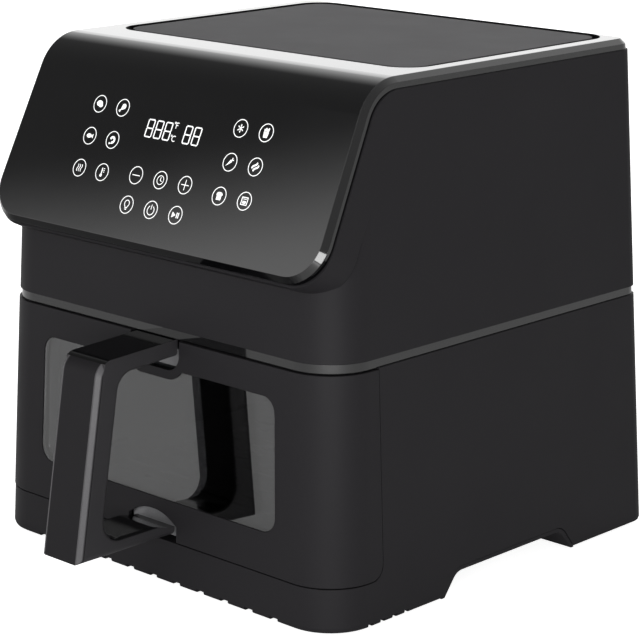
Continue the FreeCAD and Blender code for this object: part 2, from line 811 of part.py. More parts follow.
def make_crisper():
    """Slotted plate with turned-down edges, standing on silicone bumpers that fit the tub's walls."""
    inset = tub_wall + plate_margin
    z1 = tub_floor_z + tub_wall + plate_height
    z0 = z1 - plate_thickness
    foot = tub_floor_z + tub_wall + seat_gap
    plate = tub_slab(inset, foot, z1)
    plate = plate.cut(tub_slab(inset + plate_thickness, foot - 1, z0))
    middle_y = tub_middle_y()
    cuts = [rod(lift_hole_d, far, 0, middle_y, 0)]
    inner_x = tub_width / 2 - inset - tub_corner_r / 2
    inner_y = (tub_rear_y - tub_front_y) / 2 - inset - tub_corner_r / 2
    columns = int((inner_x - slot_length / 2) / slot_pitch_x)
    rows = int(inner_y / slot_pitch_y)
    for i in range(-columns, columns + 1):
        for j in range(-rows, rows + 1):
            x = i * slot_pitch_x
            y = j * slot_pitch_y
            if math.hypot(max(abs(x) - slot_length / 2, 0), y) > lift_hole_d / 2 + slot_width:
                cuts.append(round_slab(slot_length, slot_width, slot_width / 2, far, x, middle_y + y, 0))
    save("crisper_plate", plate.cut(cuts))
    low = tub_floor_z + tub_floor_r + seat_gap
    ring = tub_slab(tub_wall + seat_gap, low, low + bumper_height).cut(tub_slab(inset, low, low + bumper_height))
    half = bumper_width / 2
    bumpers = []
    for sx in (-1, 1):
        for sy in (-1, 1):
            y = middle_y + sy * (tub_rear_y - tub_front_y) / 4
            bumpers.append(ring.common(box(min(0, sx * far), max(0, sx * far), y - half, y + half, 0, far)))
    save("crisper_bumpers", group(bumpers))


def make_rails():
    z0 = liner_floor_z + liner_sheet
    rails = []
    for sx in (-1, 1):
        x = sx * (tub_width / 2 - rail_inset)
        rails.append(box(x - rail_width / 2, x + rail_width / 2, liner_front_y, liner_rear_y - liner_corner_r, z0,
                         tub_floor_z - seat_gap))
    save("drawer_rails", group(rails))


# Handle

def handle_front(z):
    """y of the grip's front face at a level."""
    share = (z - handle_low_z) / (handle_top_z - handle_low_z)
    return handle_low_y + (handle_top_y - handle_low_y) * share


def handle_points(root):
    """Side outline of the handle's outside, running back to root."""
    return [V(0, root, handle_top_z + handle_climb), V(0, handle_front(handle_top_z), handle_top_z),
            V(0, handle_front(handle_low_z), handle_low_z), V(0, root, handle_low_z)]


def handle_bar(points):
    bar = prism(points, V(handle_width, 0, 0))
    bar.translate(V(-handle_width / 2, 0, 0))
    return bar


def edges_across(solid, places):
    """Edges that run along X through the given side points."""
    found = []
    for edge in solid.Edges:
        middle = edge.CenterOfMass
        flat = V(0, middle.y, middle.z)
        if any(flat.distanceToPoint(place) < 0.01 for place in places):
            found.append(edge)
    return found


def handle_screws():
    """Two screws from inside the tub into the upper arm, and two from behind the lower bracket."""
    levels = [(handle_top_z - handle_top_arm + screw_d, tub_front_y + tub_wall),
              (handle_low_z + handle_screw_rise, tub_front_y)]
    screws = []
    for z, seat in levels:
        for x in (-handle_width / 4, handle_width / 4):
            tip = handle_root_y - handle_screw_grip
            shank = rod(handle_screw_d, seat - tip, x, tip, z, V(0, 1, 0))
            head = rod(handle_screw_head_d, screw_head, x, seat, z, V(0, 1, 0))
            screws.append(shank.fuse(head).removeSplitter())
    return group(screws)


def behind_grip(depth):
    """Everything that lies deeper than a depth behind the grip's front face."""
    high = handle_top_z + handle_round
    low = handle_low_z - handle_round
    return handle_bar([V(0, 0, high), V(0, handle_front(high) + depth, high),
                       V(0, handle_front(low) + depth, low), V(0, 0, low)])


def foot_corners():
    """What the round lower side edges take away from the handle."""
    half = handle_width / 2
    middle_x = half - foot_corner_r
    middle_z = handle_low_z + foot_corner_r
    corner = box(middle_x, half + 1, -far, 0, handle_low_z - 1, middle_z)
    corner = corner.cut(rod(2 * foot_corner_r, far, middle_x, -far, middle_z, V(0, 1, 0)))
    return [corner, mirror_x(corner)]


def loop_edges(loop, high, low):
    """Side edges of the grip's back and of the lower arm's top, inside the loop."""
    found = []
    for edge in loop.Edges:
        middle = edge.CenterOfMass
        at_side = abs(abs(middle.x) - handle_width / 2) < 0.01
        inside = handle_front(middle.z) + grip_depth - 0.01 < middle.y < front_y(low) - wall - handle_round
        if at_side and inside and low - 0.01 < middle.z < high - 0.01:
            found.append(edge)
    return found


def make_handle():
    """Loop handle: gloss core, soft front shell, bevel accents and the brackets that carry it."""
    root = handle_root_y
    outside = handle_points(root)
    gap_top = handle_top_z - handle_top_arm
    gap_low = handle_low_z + handle_low_arm
    gap_back = front_y(gap_low) - wall
    root_top = low_notch_side_z - panel_gap
    inside = [V(0, root + 1, gap_top + handle_climb), V(0, handle_front(gap_top) + grip_depth, gap_top),
              V(0, handle_front(gap_low) + grip_depth, gap_low), V(0, gap_back - handle_round, gap_low),
              V(0, gap_back, root_top), V(0, root + 1, root_top)]
    loop = handle_bar(outside)
    loop = loop.makeFillet(handle_round, edges_across(loop, outside[1:2]))
    hole = handle_bar(inside)
    hole = hole.makeFillet(handle_round, edges_across(hole, inside[1:3]))
    loop = loop.cut(hole)
    loop = loop.makeFillet(loop_round, loop_edges(loop, gap_top, gap_low))
    shell_cut = behind_grip(grip_shell)
    shell = loop.cut(shell_cut)
    core = loop.common(shell_cut)
    long_edges = []
    for edge in shell.Edges:
        middle = edge.CenterOfMass
        on_front = abs(middle.y - handle_front(middle.z)) < 0.5
        if on_front and abs(abs(middle.x) - handle_width / 2) < 0.01 and edge.Length > handle_round * 2:
            long_edges.append(edge)
    bevelled = shell.makeChamfer(grip_bevel, long_edges).cut(foot_corners())
    deeper = shell.makeChamfer(grip_bevel + accent_thickness, long_edges).cut(foot_corners())
    screws = handle_screws()
    half = bracket_width / 2
    flange_top = bay_z + panel_gap + wall
    low = box(-half, half, -far, tub_front_y, flange_top + seat_gap, low_notch_top_z)
    high = box(-half, half, -far, tub_front_y, notch_low_z + wall, tub_rim_z - tub_wall)
    room = draft_block(bay_z, band_z, bracket_sunk - front_proud)
    brackets = [low.common(room), high.common(room)]
    save("handle_core", core.cut(brackets + [screws] + foot_corners()))
    save("handle_grip", deeper.common(bevelled))
    save("handle_accents", bevelled.cut(deeper))
    save("handle_brackets", group([bracket.cut(screws) for bracket in brackets]))
    save("handle_screws", screws)


# Cavity, heater and fan

def liner_slab(inset, z0, z1, front):
    """Plan of the cavity between two levels: square at the front, round at the rear."""
    half = liner_width / 2 - inset
    slab = box(-half, half, front, liner_rear_y - inset, z0, z1)
    rear = [edge for edge in slab.Edges if edge.CenterOfMass.y > front + 1 and abs(edge.CenterOfMass.x) > half / 2]
    upright = [edge for edge in rear if abs(edge.Vertexes[0].Point.z - edge.Vertexes[-1].Point.z) > 1]
    return slab.makeFillet(liner_corner_r - inset, upright)


def make_liner():
    """Sheet cavity: open at the drawer's mouth, closed above it, with openings for the shaft, probe and lamp."""
    front = liner_front_y
    body = liner_slab(0, liner_floor_z, liner_roof_z, front)
    hollow = liner_slab(liner_sheet, liner_floor_z + liner_sheet, liner_roof_z - liner_sheet, front + liner_sheet)
    mouth = box(-liner_width / 2 + liner_sheet, liner_width / 2 - liner_sheet, front - 1, front + 2 * liner_sheet,
                liner_floor_z + liner_sheet, mouth_high_z)
    cuts = [hollow, mouth, rod(shaft_hole_d, far, 0, axis_y, element_z)]
    cuts.append(rod(lamp_d, far, lamp_x, lamp_y, element_z))
    cuts.append(rod(probe_d + 2 * seat_gap, far, sensor_x, sensor_y, element_z))
    for x, y in element_ends():
        cuts.append(rod(terminal_d + 2 * seat_gap, far, x, y, element_z))
    save("cavity_liner", body.cut(cuts))


def blade_wheel(diameter, height, blades, z, lean):
    """Wheel with a back disc, a hub and bent blades."""
    disc = rod(diameter, fan_sheet, 0, axis_y, z + height - fan_sheet)
    hub = rod(hub_d, height, 0, axis_y, z)
    blank = fuse([disc, hub])
    parts = [blank]
    inner = hub_d / 2 + blade_gap
    outer = diameter / 2 - blade_gap
    for i in range(blades):
        blade = box(-fan_sheet / 2, fan_sheet / 2, inner, outer, z, z + height - fan_sheet / 2)
        blade.rotate(V(0, inner, 0), V(0, 0, 1), lean)
        blade.rotate(V(0, 0, 0), V(0, 0, 1), 360 * i / blades)
        blade.translate(V(0, axis_y, 0))
        parts.append(blade)
    wheel = fuse(parts)
    return wheel.common(rod(diameter, height, 0, axis_y, z)).cut(rod(shaft_d, far, 0, axis_y, z - 1))


def make_fan():
    """Hot-air wheel under the roof and cooling wheel above it, on one shaft, with the nut that holds the lower."""
    save("convection_fan", blade_wheel(fan_d, fan_height, fan_blades, fan_z, fan_lean))
    cooling_z = liner_roof_z + cooling_lift
    save("cooling_fan", blade_wheel(cooling_fan_d, cooling_fan_height, cooling_blades, cooling_z, cooling_lean))
    foot = fan_z - nut_height
    save("motor_shaft", rod(shaft_d, motor_z + motor_height / 2 - foot, 0, axis_y, foot))
    save("fan_nut", tube(nut_d, shaft_d, nut_height, 0, axis_y, foot))


def element_ends():
    """Middle of each straight end of the heater tube, in plan."""
    return [(element_r, axis_y - element_tube_d / 2), (-element_last_r, axis_y - element_tube_d / 2)]


def make_element():
    """Spiral heater tube of half turns with straight ends, its terminals and the straps that hang it."""
    start = V(element_r, axis_y, element_z)
    lead = start - V(0, element_tube_d, 0)
    edges = [Part.LineSegment(lead, start).toShape()]
    side = 1
    for i in range(element_half_turns):
        r = element_r + element_step * i
        middle = start + V(-side * r, side * r, 0)
        end = start + V(-side * 2 * r, 0, 0)
        edges.append(Part.Arc(start, middle, end).toShape())
        start = end
        side = -side
    tail = start + V(0, side * element_tube_d, 0)
    edges.append(Part.LineSegment(start, tail).toShape())
    ring = Part.Wire(Part.makeCircle(element_tube_d / 2, lead, V(0, 1, 0)))
    save("heating_element", Part.Wire(edges).makePipeShell([ring], True, False))
    print("heater tube least gap to itself", 2 * element_step - element_tube_d)
    top = element_z + element_tube_d / 2
    ceiling = liner_roof_z - liner_sheet
    terminals = []
    for x, y in element_ends():
        post = rod(terminal_d, liner_roof_z + terminal_out - top, x, y, top)
        collar = rod(terminal_collar_d, terminal_d, x, y, liner_roof_z)
        terminals.append(post.fuse(collar).removeSplitter())
    save("heater_terminals", group(terminals))
    straps = []
    reach = element_last_r + element_tube_d
    for turn in (0, 180):
        bar = box(-strap_width / 2, strap_width / 2, element_r - element_tube_d, reach, top, top + strap)
        leg = box(-strap_width / 2, strap_width / 2, reach - strap, reach, top, ceiling)
        hook = fuse([bar, leg])
        hook.rotate(V(0, 0, 0), V(0, 0, 1), turn)
        hook.translate(V(0, axis_y, 0))
        straps.append(hook)
    save("heater_straps", group(straps))


def make_guard():
    """Round wire guard under the heater, hung from the cavity's side walls."""
    parts = []
    for i in range(guard_rings):
        d = guard_d * (i + 1) / guard_rings
        parts.append(tube(d, d - 2 * guard_bar, guard_bar, 0, axis_y, guard_z))
    half = liner_width / 2 - liner_sheet
    for angle in (0, 60, 120):
        reach = half if angle == 0 else guard_d / 2
        bar = box(-reach, reach, -guard_bar / 2, guard_bar / 2, guard_z, guard_z + guard_bar)
        bar.rotate(V(0, 0, 0), V(0, 0, 1), angle)
        bar.translate(V(0, axis_y, 0))
        parts.append(bar)
    save("heater_guard", fuse(parts))


def make_motor():
    """Motor over its round plate, which stands on three legs."""
    motor = rod(motor_d, motor_height, 0, axis_y, motor_z)
    bore = rod(shaft_d + 2 * seat_gap, motor_plate + motor_height / 2 + shaft_end_gap, 0, axis_y, motor_plate_z)
    save("motor_body", motor.cut(bore))
    plate = rod(motor_plate_d, motor_plate, 0, axis_y, motor_plate_z)
    legs = []
    for i in range(3):
        angle = math.radians(90 + 120 * i)
        r = motor_plate_d / 2 - boss_d
        legs.append(rod(boss_d, motor_plate_z - liner_roof_z, r * math.cos(angle), axis_y + r * math.sin(angle),
                        liner_roof_z))
    save("motor_bracket", fuse([plate] + legs).cut(bore))


def grille_opening(grow):
    half = grille_width / 2 + grow
    return box(-half, half, body_depth / 4, far, grille_low_z - grow, grille_high_z + grow)


def make_duct():
    """Scroll round the cooling wheel that blows out through the rear grille."""
    z0 = liner_roof_z
    z1 = motor_plate_z
    rear = rear_y(motor_plate_z) - wall - panel_gap
    outer = rod(duct_d, z1 - z0, 0, axis_y, z0).fuse(
        box(-duct_width / 2, duct_width / 2, axis_y, rear, z0, z1))
    inner_half = duct_width / 2 - duct_wall
    inner = rod(duct_d - 2 * duct_wall, z1 - z0, 0, axis_y, z0).fuse(
        box(-inner_half, inner_half, axis_y, rear + 1, z0, z1))
    save("air_duct", outer.cut(inner))


def make_grille():
    """Rear outlet grille: a frame with upright slats, let into the upper housing."""
    layer = draft_block(band_top_z, body_height).cut(draft_block(band_top_z - 1, body_height + 1, wall))
    frame = layer.common(grille_opening(-seat_gap / 2))
    inner = grille_opening(-grille_frame)
    parts = [frame.cut(inner)]
    pitch = (grille_width - 2 * grille_frame) / (grille_slats + 1)
    half = slat_thickness / 2
    for i in range(grille_slats):
        x = -grille_width / 2 + grille_frame + pitch * (i + 1)
        parts.append(layer.common(box(x - half, x + half, 0, far, grille_low_z + slat_reach,
                                      grille_high_z - slat_reach)))
    save("rear_grille", fuse(parts))


# Electrics

def make_controls():
    """Control board behind the face, the display and the touch springs that press on the fascia's back."""
    back = fascia_thickness + board_gap
    board = panel_block(0, board_middle, board_width, board_height, back, back + board_thickness)
    save("control_board", board)
    display = panel_block(0, display_up, display_width, display_height, fascia_thickness, back)
    save("display_module", display)
    springs = [panel_rod(x, s, key_d, fascia_thickness, back) for x, s in key_places()]
    save("touch_springs", group(springs))


def make_power_board():
    """Supply board on four standoffs over the cavity roof, with its relay, transformer and capacitor."""
    x0, y0 = power_board_x, power_board_y
    z0 = liner_roof_z + standoff_height
    board = box(x0, x0 + power_board_width, y0, y0 + power_board_length, z0, z0 + board_thickness)
    top = z0 + board_thickness
    relay_x, part_y = x0 + part_gap, y0 + part_gap
    relay = box(relay_x, relay_x + relay_width, part_y, part_y + relay_length, top, top + relay_height)
    coil_x = relay_x + relay_width + part_gap
    transformer = box(coil_x, coil_x + transformer_width, part_y, part_y + transformer_length, top,
                      top + transformer_height)
    capacitor_y = part_y + relay_length + part_gap + capacitor_d / 2
    capacitor = rod(capacitor_d, capacitor_height, relay_x + capacitor_d / 2, capacitor_y, top)
    legs = []
    for x in (x0 + standoff_d, x0 + power_board_width - standoff_d):
        for y in (y0 + standoff_d, y0 + power_board_length - standoff_d):
            legs.append(rod(standoff_d, standoff_height, x, y, liner_roof_z))
    save("power_board", fuse([board, relay, transformer, capacitor] + legs))


def make_sensors():
    """Air probe through the cavity's roof, and the thermal fuse in its clamp on the other side."""
    probe = rod(probe_d, probe_length, sensor_x, sensor_y, liner_roof_z - probe_in)
    flange = rod(probe_flange_d, clamp_sheet, sensor_x, sensor_y, liner_roof_z)
    save("temperature_sensor", fuse([probe, flange]))
    half_length, half_clamp = clamp_length / 2, clamp_width / 2
    clamp = box(-sensor_x - half_length, -sensor_x + half_length, sensor_y - half_clamp, sensor_y + half_clamp,
                liner_roof_z, liner_roof_z + clamp_sheet)
    link_z = liner_roof_z + clamp_sheet + fuse_d / 2 - fuse_sunk
    link = rod(fuse_d, fuse_length, -sensor_x - fuse_length / 2, sensor_y, link_z, V(1, 0, 0))
    save("thermal_fuse", fuse([clamp, link]))


def make_lamp():
    """Lamp cup on the cavity's roof and the lens clamped under it."""
    cup = rod(lamp_d + 2 * lamp_holder_wall, lamp_holder_height, lamp_x, lamp_y, liner_roof_z)
    well = rod(lamp_d - 2 * lamp_lip, lamp_holder_height - lamp_holder_roof, lamp_x, lamp_y, liner_roof_z)
    save("lamp_holder", cup.cut(well))
    low = liner_roof_z - liner_sheet - lamp_lip
    lens = rod(lamp_d - 2 * seat_gap, liner_roof_z - low, lamp_x, lamp_y, low)
    lip = rod(lamp_d + 2 * lamp_lip, lamp_lip, lamp_x, lamp_y, low)
    save("lamp_lens", fuse([lens, lip]))


def make_gland():
    """Bushing in the rear wall, with a wide mouth outside and a close bore inside."""
    along = V(0, 1, 0)
    seat = rear_y(gland_z - gland_d / 2)
    flange = rod(gland_d, gland_flange, gland_x, seat, gland_z, along)
    barrel = rod(gland_d - 2 * wall - 2 * seat_gap, gland_barrel, gland_x, seat - gland_barrel, gland_z, along)
    mouth = rod(gland_mouth_d, gland_mouth + gland_flange, gland_x, seat - gland_mouth, gland_z, along)
    bore = rod(gland_bore, gland_barrel, gland_x, seat - gland_barrel, gland_z, along)
    save("cord_gland", fuse([flange, barrel]).cut([mouth, bore]))


def make_switch():
    """Safety switch behind the bulkhead, pressed by the drawer front's striker."""
    along = V(0, 1, 0)
    x, y = striker_x - switch_width / 2, liner_front_y
    z = switch_z - switch_height / 2
    body = box(x, x + switch_width, y, y + switch_depth, z, z + switch_height)
    save("drawer_switch", body.cut(rod(plunger_d + 2 * seat_gap, plunger_room, striker_x, y, switch_z, along)))
    length = plunger_out + wall + plunger_in
    save("switch_plunger", rod(plunger_d, length, striker_x, seam_y - plunger_out, switch_z, along))


os.makedirs("parts", exist_ok=True)
make_base()
make_lower_housing()
make_trim_band()
make_upper_housing()
make_fascia()
make_inlay()
make_grille()
make_drawer_front()
make_window()
make_tub()
make_crisper()
make_rails()
make_handle()
make_liner()
make_element()
make_guard()
make_fan()
make_motor()
make_duct()
make_controls()
make_power_board()
make_sensors()
make_lamp()
make_gland()
make_switch()
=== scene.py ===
"""Looks of a drawer air fryer: black plastics, printed touch panel, glass, sheet metal and a studio.

Metres, in the part's own frame: +X is the user's right, the drawer pulls out along -Y and +Z is up.
"""
import json
import math
import bmesh
import bpy
from bpy.props import FloatProperty, FloatVectorProperty, PointerProperty
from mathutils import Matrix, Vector


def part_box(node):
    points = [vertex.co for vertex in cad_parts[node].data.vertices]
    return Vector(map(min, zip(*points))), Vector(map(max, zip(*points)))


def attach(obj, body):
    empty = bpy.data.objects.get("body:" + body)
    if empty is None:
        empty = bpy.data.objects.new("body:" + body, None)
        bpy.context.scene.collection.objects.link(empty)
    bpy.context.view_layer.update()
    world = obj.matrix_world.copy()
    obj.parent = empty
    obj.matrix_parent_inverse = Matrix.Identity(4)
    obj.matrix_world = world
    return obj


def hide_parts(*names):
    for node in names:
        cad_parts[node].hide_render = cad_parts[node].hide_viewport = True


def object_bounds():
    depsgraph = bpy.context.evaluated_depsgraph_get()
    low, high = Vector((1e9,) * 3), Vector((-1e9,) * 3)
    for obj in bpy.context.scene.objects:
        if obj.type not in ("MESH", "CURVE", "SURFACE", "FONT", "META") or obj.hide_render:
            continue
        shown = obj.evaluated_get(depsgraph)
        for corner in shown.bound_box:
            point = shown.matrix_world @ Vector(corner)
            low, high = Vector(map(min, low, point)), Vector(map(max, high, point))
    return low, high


bl_info = {
    "name": "Drawer Air Fryer",
    "version": (1, 0, 0),
    "blender": (4, 5, 0),
    "location": "View3D > Sidebar > Fryer",
    "description": "Finishes, panel print and studio of a drawer air fryer",
    "category": "Object",
}

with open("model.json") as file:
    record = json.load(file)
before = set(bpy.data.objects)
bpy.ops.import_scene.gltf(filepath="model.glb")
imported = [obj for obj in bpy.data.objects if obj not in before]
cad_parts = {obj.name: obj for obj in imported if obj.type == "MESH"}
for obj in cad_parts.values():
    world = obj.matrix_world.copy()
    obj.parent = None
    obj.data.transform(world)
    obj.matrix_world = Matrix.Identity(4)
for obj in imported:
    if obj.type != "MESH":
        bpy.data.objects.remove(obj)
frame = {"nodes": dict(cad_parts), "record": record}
CAD_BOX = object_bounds()
MM = 0.001

# Camera: width of the picture in pixels and of the sensor in millimetres
PICTURE_WIDTH = 640
SENSOR_WIDTH = 36.0

# Patterns: where most of a noise's values lie, and where a colour runs from one tone to the other
NOISE_LOW, NOISE_HIGH = 0.3, 0.7
RAMP_START, RAMP_END = 0.35, 0.65

# How far a face looks up, from -1 to 1: where the fascia's lip is dull, and where its shine is full
LIP_DULL, LIP_SHINE = -0.31, -0.21

# Small shapes: gap between a digit's segments in millimetres, and a screw crown's top against its foot
SEGMENT_GAP = 0.05
CROWN_SHARE = 0.82


def linear(code):
    """Linear RGB of an sRGB hex colour such as "#1a1b1c"."""
    values = [int(code[i:i + 2], 16) / 255 for i in (1, 3, 5)]
    return tuple(v / 12.92 if v <= 0.04045 else ((v + 0.055) / 1.055) ** 2.4 for v in values)


def size(label, text, default_mm):
    """Length property with its default given in millimetres."""
    return FloatProperty(name=label, description=text, default=default_mm * MM, unit="LENGTH", precision=5)


def angle(label, text, degrees):
    """Angle property with its default given in degrees."""
    return FloatProperty(name=label, description=text, default=math.radians(degrees), subtype="ANGLE")


def number(label, text, default):
    """Property without a unit, such as a share or a strength of light."""
    return FloatProperty(name=label, description=text, default=default)


def tone(label, text, code):
    """Colour property with its default given as an sRGB hex colour."""
    return FloatVectorProperty(name=label, description=text, subtype="COLOR", size=3, min=0, max=1,
                               default=linear(code))


class FryerFinishes(bpy.types.PropertyGroup):
    """Colours of the fryer's materials."""
    matte: tone("Matte body", "Moulded outer walls", "#201f21")
    # On the handle's faces that look up, gloss black is painted shade
    gloss: tone("Gloss black", "Control fascia, trim band and the handle's top", "#060607")
    inlay: tone("Top inlay", "Satin plate in the top", "#4a494b")
    grip: tone("Grip", "Shell on the front of the handle", "#1c1b1d")
    handle: tone("Handle core", "Sides of the handle", "#2a292b")
    accent: tone("Grip accents", "Thin strips along the grip", "#4c4b4d")
    bracket: tone("Handle brackets", "Blasted metal brackets in the notches", "#8f8f91")
    coating: tone("Coating", "Baked coating of the tub and the crisper plate", "#242527")
    rubber: tone("Rubber", "Feet, seals and bumpers", "#121213")
    printing: tone("Panel print", "Signs on the control face", "#f2f2f2")
    board: tone("Circuit board", "Solder resist of the boards", "#1d5a34")


class FryerPanelSizes(bpy.types.PropertyGroup):
    """Layout of the signs on the control face, measured from the middle of its foot."""
    tilt: angle("Tilt", "Lean of the control face from the vertical", 25.7)
    ring_d: size("Key ring", "Diameter of each key's ring, at the middle of its line", 10.7)
    line: size("Line", "Width of a ring's line", 0.52)
    ink: size("Print thickness", "How far the print stands on the face", 0.06)
    outer_x: size("Outer column", "Outer key columns from the middle", 71.8)
    inner_x: size("Inner column", "Inner key columns from the middle", 51.0)
    top_s: size("Upper row", "Upper key row above the foot", 78.5)
    row_pitch: size("Row pitch", "Between the side rows", 20.6)
    middle_pitch: size("Middle pitch", "Between the middle columns", 21.3)
    middle_s: size("Middle row", "Upper middle row above the foot", 39.6)
    middle_row_pitch: size("Middle row pitch", "Between the middle rows", 18.5)
    digit_height: size("Digit height", "Height of the display's digits", 11.5)
    digit_width: size("Digit width", "Width of one digit", 6.1)
    digit_pitch: size("Digit pitch", "Between two digits of a group", 7.7)
    digit_line: size("Digit line", "Width of a digit's segments", 0.8)
    left_digit_x: size("Left digits", "First of the three left digits, from the middle", -22.4)
    right_digit_x: size("Right digits", "First of the two right digits, from the middle", 10.3)
    digit_s: size("Digit middle", "Middle of the digits above the foot", 69.1)
    degree_x: size("Degree marks", "Both degree marks, from the middle", -1.4)
    degree_rise: size("Upper degree mark", "Upper degree mark above the digits' middle", 4.4)
    degree_drop: size("Lower degree mark", "Lower degree mark below the digits' middle", 3.7)
    spring_gap: size("Spring seat", "Touch springs behind the control face", 2.6)
    spring_length: size("Spring length", "From the fascia's back to the control board", 12.0)
    spring_d: size("Spring width", "Outside of a touch spring", 9.0)
    spring_wire: size("Spring wire", "Wire of a touch spring", 0.9)


class FryerScrewSizes(bpy.types.PropertyGroup):
    """Sizes of the screws."""
    head: size("Head height", "Height of a screw's head", 2.0)
    slot: size("Recess", "Width of the cross recess", 0.9)
    base_d: size("Base thread", "Thread of the base plate's screws", 4.0)
    base_head_d: size("Base head", "Head of the base plate's screws", 8.0)


class FryerStudio(bpy.types.PropertyGroup):
    """Camera, floor and light."""
    azimuth: angle("Azimuth", "Camera round the object from the front", 43.944)
    elevation: angle("Elevation", "Camera's view above the horizon", 14.403)
    camera_place: FloatVectorProperty(name="Camera", description="Where the camera stands",
                                      subtype="TRANSLATION", default=(1.0370, -1.04325, 0.5282))
    focal_pixels: number("Focal length", "In pixels of the picture", 2416.2)
    shift_pixels: FloatVectorProperty(name="Shift", description="View's middle in pixels, right and up",
                                      size=2, default=(2.749, -10.559))
    soft_light: number("Tent", "Strength of the white tent round the object", 1.45)
    side_light: number("Right side", "Share of the tent's strength that is left at the right", 0.3)
    side_start: number("Right side's start", "Where the tent starts to dim, towards the right", -0.3)
    side_end: number("Right side's end", "Where the tent is dimmest, towards the right", 0.6)
    flag_light: number("Flag", "Strength of the dark flag at the upper left", 0.15)
    flag_start: number("Flag's edge", "Where the tent starts to fade, up less right", 1.075)
    flag_end: number("Flag's middle", "Where the flag is full, up less right", 1.132)
    back_light: number("Back", "Strength of the tent over the flag, towards the back", 1.0)
    back_start: number("Back's start", "Where the back light starts, towards the back", 0.1)
    back_end: number("Back's end", "Where the back light is full, towards the back", 0.65)
    box_watts: FloatProperty(name="Softbox", description="Power of the softbox at the camera", default=17.0,
                             subtype="POWER", unit="POWER")
    box_size: size("Softbox width", "Long side of the softbox", 1300)
    box_height: size("Softbox side", "Short side of the softbox", 450)
    box_distance: size("Softbox distance", "From the object's middle", 1600)
    box_lift: angle("Softbox height", "Softbox above the horizon", 4)
    floor_tone: tone("Floor", "Studio floor", "#f4f4f4")
    floor_half: size("Floor size", "From the floor's middle to its edges", 12000)
    floor_glow: number("Floor glow", "White added to the floor's own shade", 0.85)


def add_node(tree, kind, settings=None, links=None):
    """Adds a node, sets its inputs or attributes by name, and joins sockets to its inputs."""
    node = tree.nodes.new(kind)
    for key, value in (settings or {}).items():
        if isinstance(key, int) or key in node.inputs:
            node.inputs[key].default_value = value
        else:
            setattr(node, key, value)
    for key, socket in (links or {}).items():
        tree.links.new(socket, node.inputs[key])
    return node


def upward(tree):
    """How far a face looks up: 1 on a level top, 0 on a wall and -1 underneath."""
    face = add_node(tree, "ShaderNodeNewGeometry")
    return add_node(tree, "ShaderNodeSeparateXYZ", {}, {0: face.outputs["True Normal"]}).outputs["Z"]


def new_material(name, shader):
    """Material with a Principled shader that has the given settings. Gives it, its tree and its shader."""
    material = bpy.data.materials.new(name)
    material.use_nodes = True
    tree = material.node_tree
    tree.nodes.clear()
    principled = add_node(tree, "ShaderNodeBsdfPrincipled", shader)
    add_node(tree, "ShaderNodeOutputMaterial", {}, {"Surface": principled.outputs[0]})
    return material, tree, principled


def grain(tree, principled, size_mm, depth_mm, edge_mm, detail=3.0):
    """Fine surface grain of a given size over softened edges. Gives the coordinates and the noise."""
    # The grain of spark-textured, blasted and plated faces is finer in truth, and is drawn coarser to show
    place = add_node(tree, "ShaderNodeTexCoord").outputs["Object"]
    noise = add_node(tree, "ShaderNodeTexNoise", {"Scale": 1 / (size_mm * MM), "Detail": detail},
                     {"Vector": place})
    edge = add_node(tree, "ShaderNodeBevel", {"Radius": edge_mm * MM, "samples": 6})
    bump = add_node(tree, "ShaderNodeBump", {"Strength": 1.0, "Distance": depth_mm * MM},
                    {"Height": noise.outputs[0], "Normal": edge.outputs[0]})
    tree.links.new(bump.outputs[0], principled.inputs["Normal"])
    return place, noise


def uneven(tree, principled, place, size_mm, low, high):
    """Slow change of roughness over the surface, as handling and moulding leave."""
    patches = add_node(tree, "ShaderNodeTexNoise", {"Scale": 1 / (size_mm * MM), "Detail": 2.0},
                       {"Vector": place})
    spread = add_node(tree, "ShaderNodeMapRange",
                      {"From Min": NOISE_LOW, "From Max": NOISE_HIGH, "To Min": low, "To Max": high},
                      {"Value": patches.outputs[0]})
    tree.links.new(spread.outputs[0], principled.inputs["Roughness"])


def shade(tree, principled, fac, dark, light):
    """Colour that runs between two tones with a pattern."""
    ramp = add_node(tree, "ShaderNodeValToRGB", {}, {"Fac": fac})
    ends = ((RAMP_START, dark), (RAMP_END, light))
    for element, (position, colour) in zip(ramp.color_ramp.elements, ends):
        element.position = position
        element.color = (*colour, 1)
    tree.links.new(ramp.outputs[0], principled.inputs["Base Color"])


def toned(colour, share):
    """Colour made darker or lighter by a share, and no brighter than white."""
    return tuple(min(1.0, v * share) for v in colour)


def matte_abs(colour):
    """Spark-textured moulded ABS: dull, even black with a faint soft sheen."""
    material, tree, shader = new_material("moulded_abs_spark_texture",
                                          {"Specular IOR Level": 0.09, "IOR": 1.5})
    place, noise = grain(tree, shader, size_mm=0.7, depth_mm=0.012, edge_mm=0.7)
    uneven(tree, shader, place, size_mm=60, low=0.46, high=0.54)
    shade(tree, shader, noise.outputs[0], toned(colour, 0.93), toned(colour, 1.07))
    return material


def gloss_abs(colour, roughness, coat):
    """Polished black ABS: mirror-like and faintly wavy, with a duller lip on the faces that look down."""
    material, tree, shader = new_material("polished_abs", {"IOR": 1.52, "Coat Weight": coat,
                                                           "Coat Roughness": 0.03})
    place, noise = grain(tree, shader, size_mm=14.0, depth_mm=0.004, edge_mm=0.6, detail=1.0)
    uneven(tree, shader, place, size_mm=40, low=roughness * 0.8, high=roughness * 1.2)
    look = upward(tree)
    for socket, dull, bright in (("Coat Weight", 0.0, coat), ("Specular IOR Level", 0.08, 0.5)):
        fade = add_node(tree, "ShaderNodeMapRange",
                        {"From Min": LIP_DULL, "From Max": LIP_SHINE, "To Min": dull, "To Max": bright},
                        {"Value": look})
        tree.links.new(fade.outputs[0], shader.inputs[socket])
    shade(tree, shader, noise.outputs[0], toned(colour, 0.95), toned(colour, 1.05))
    return material


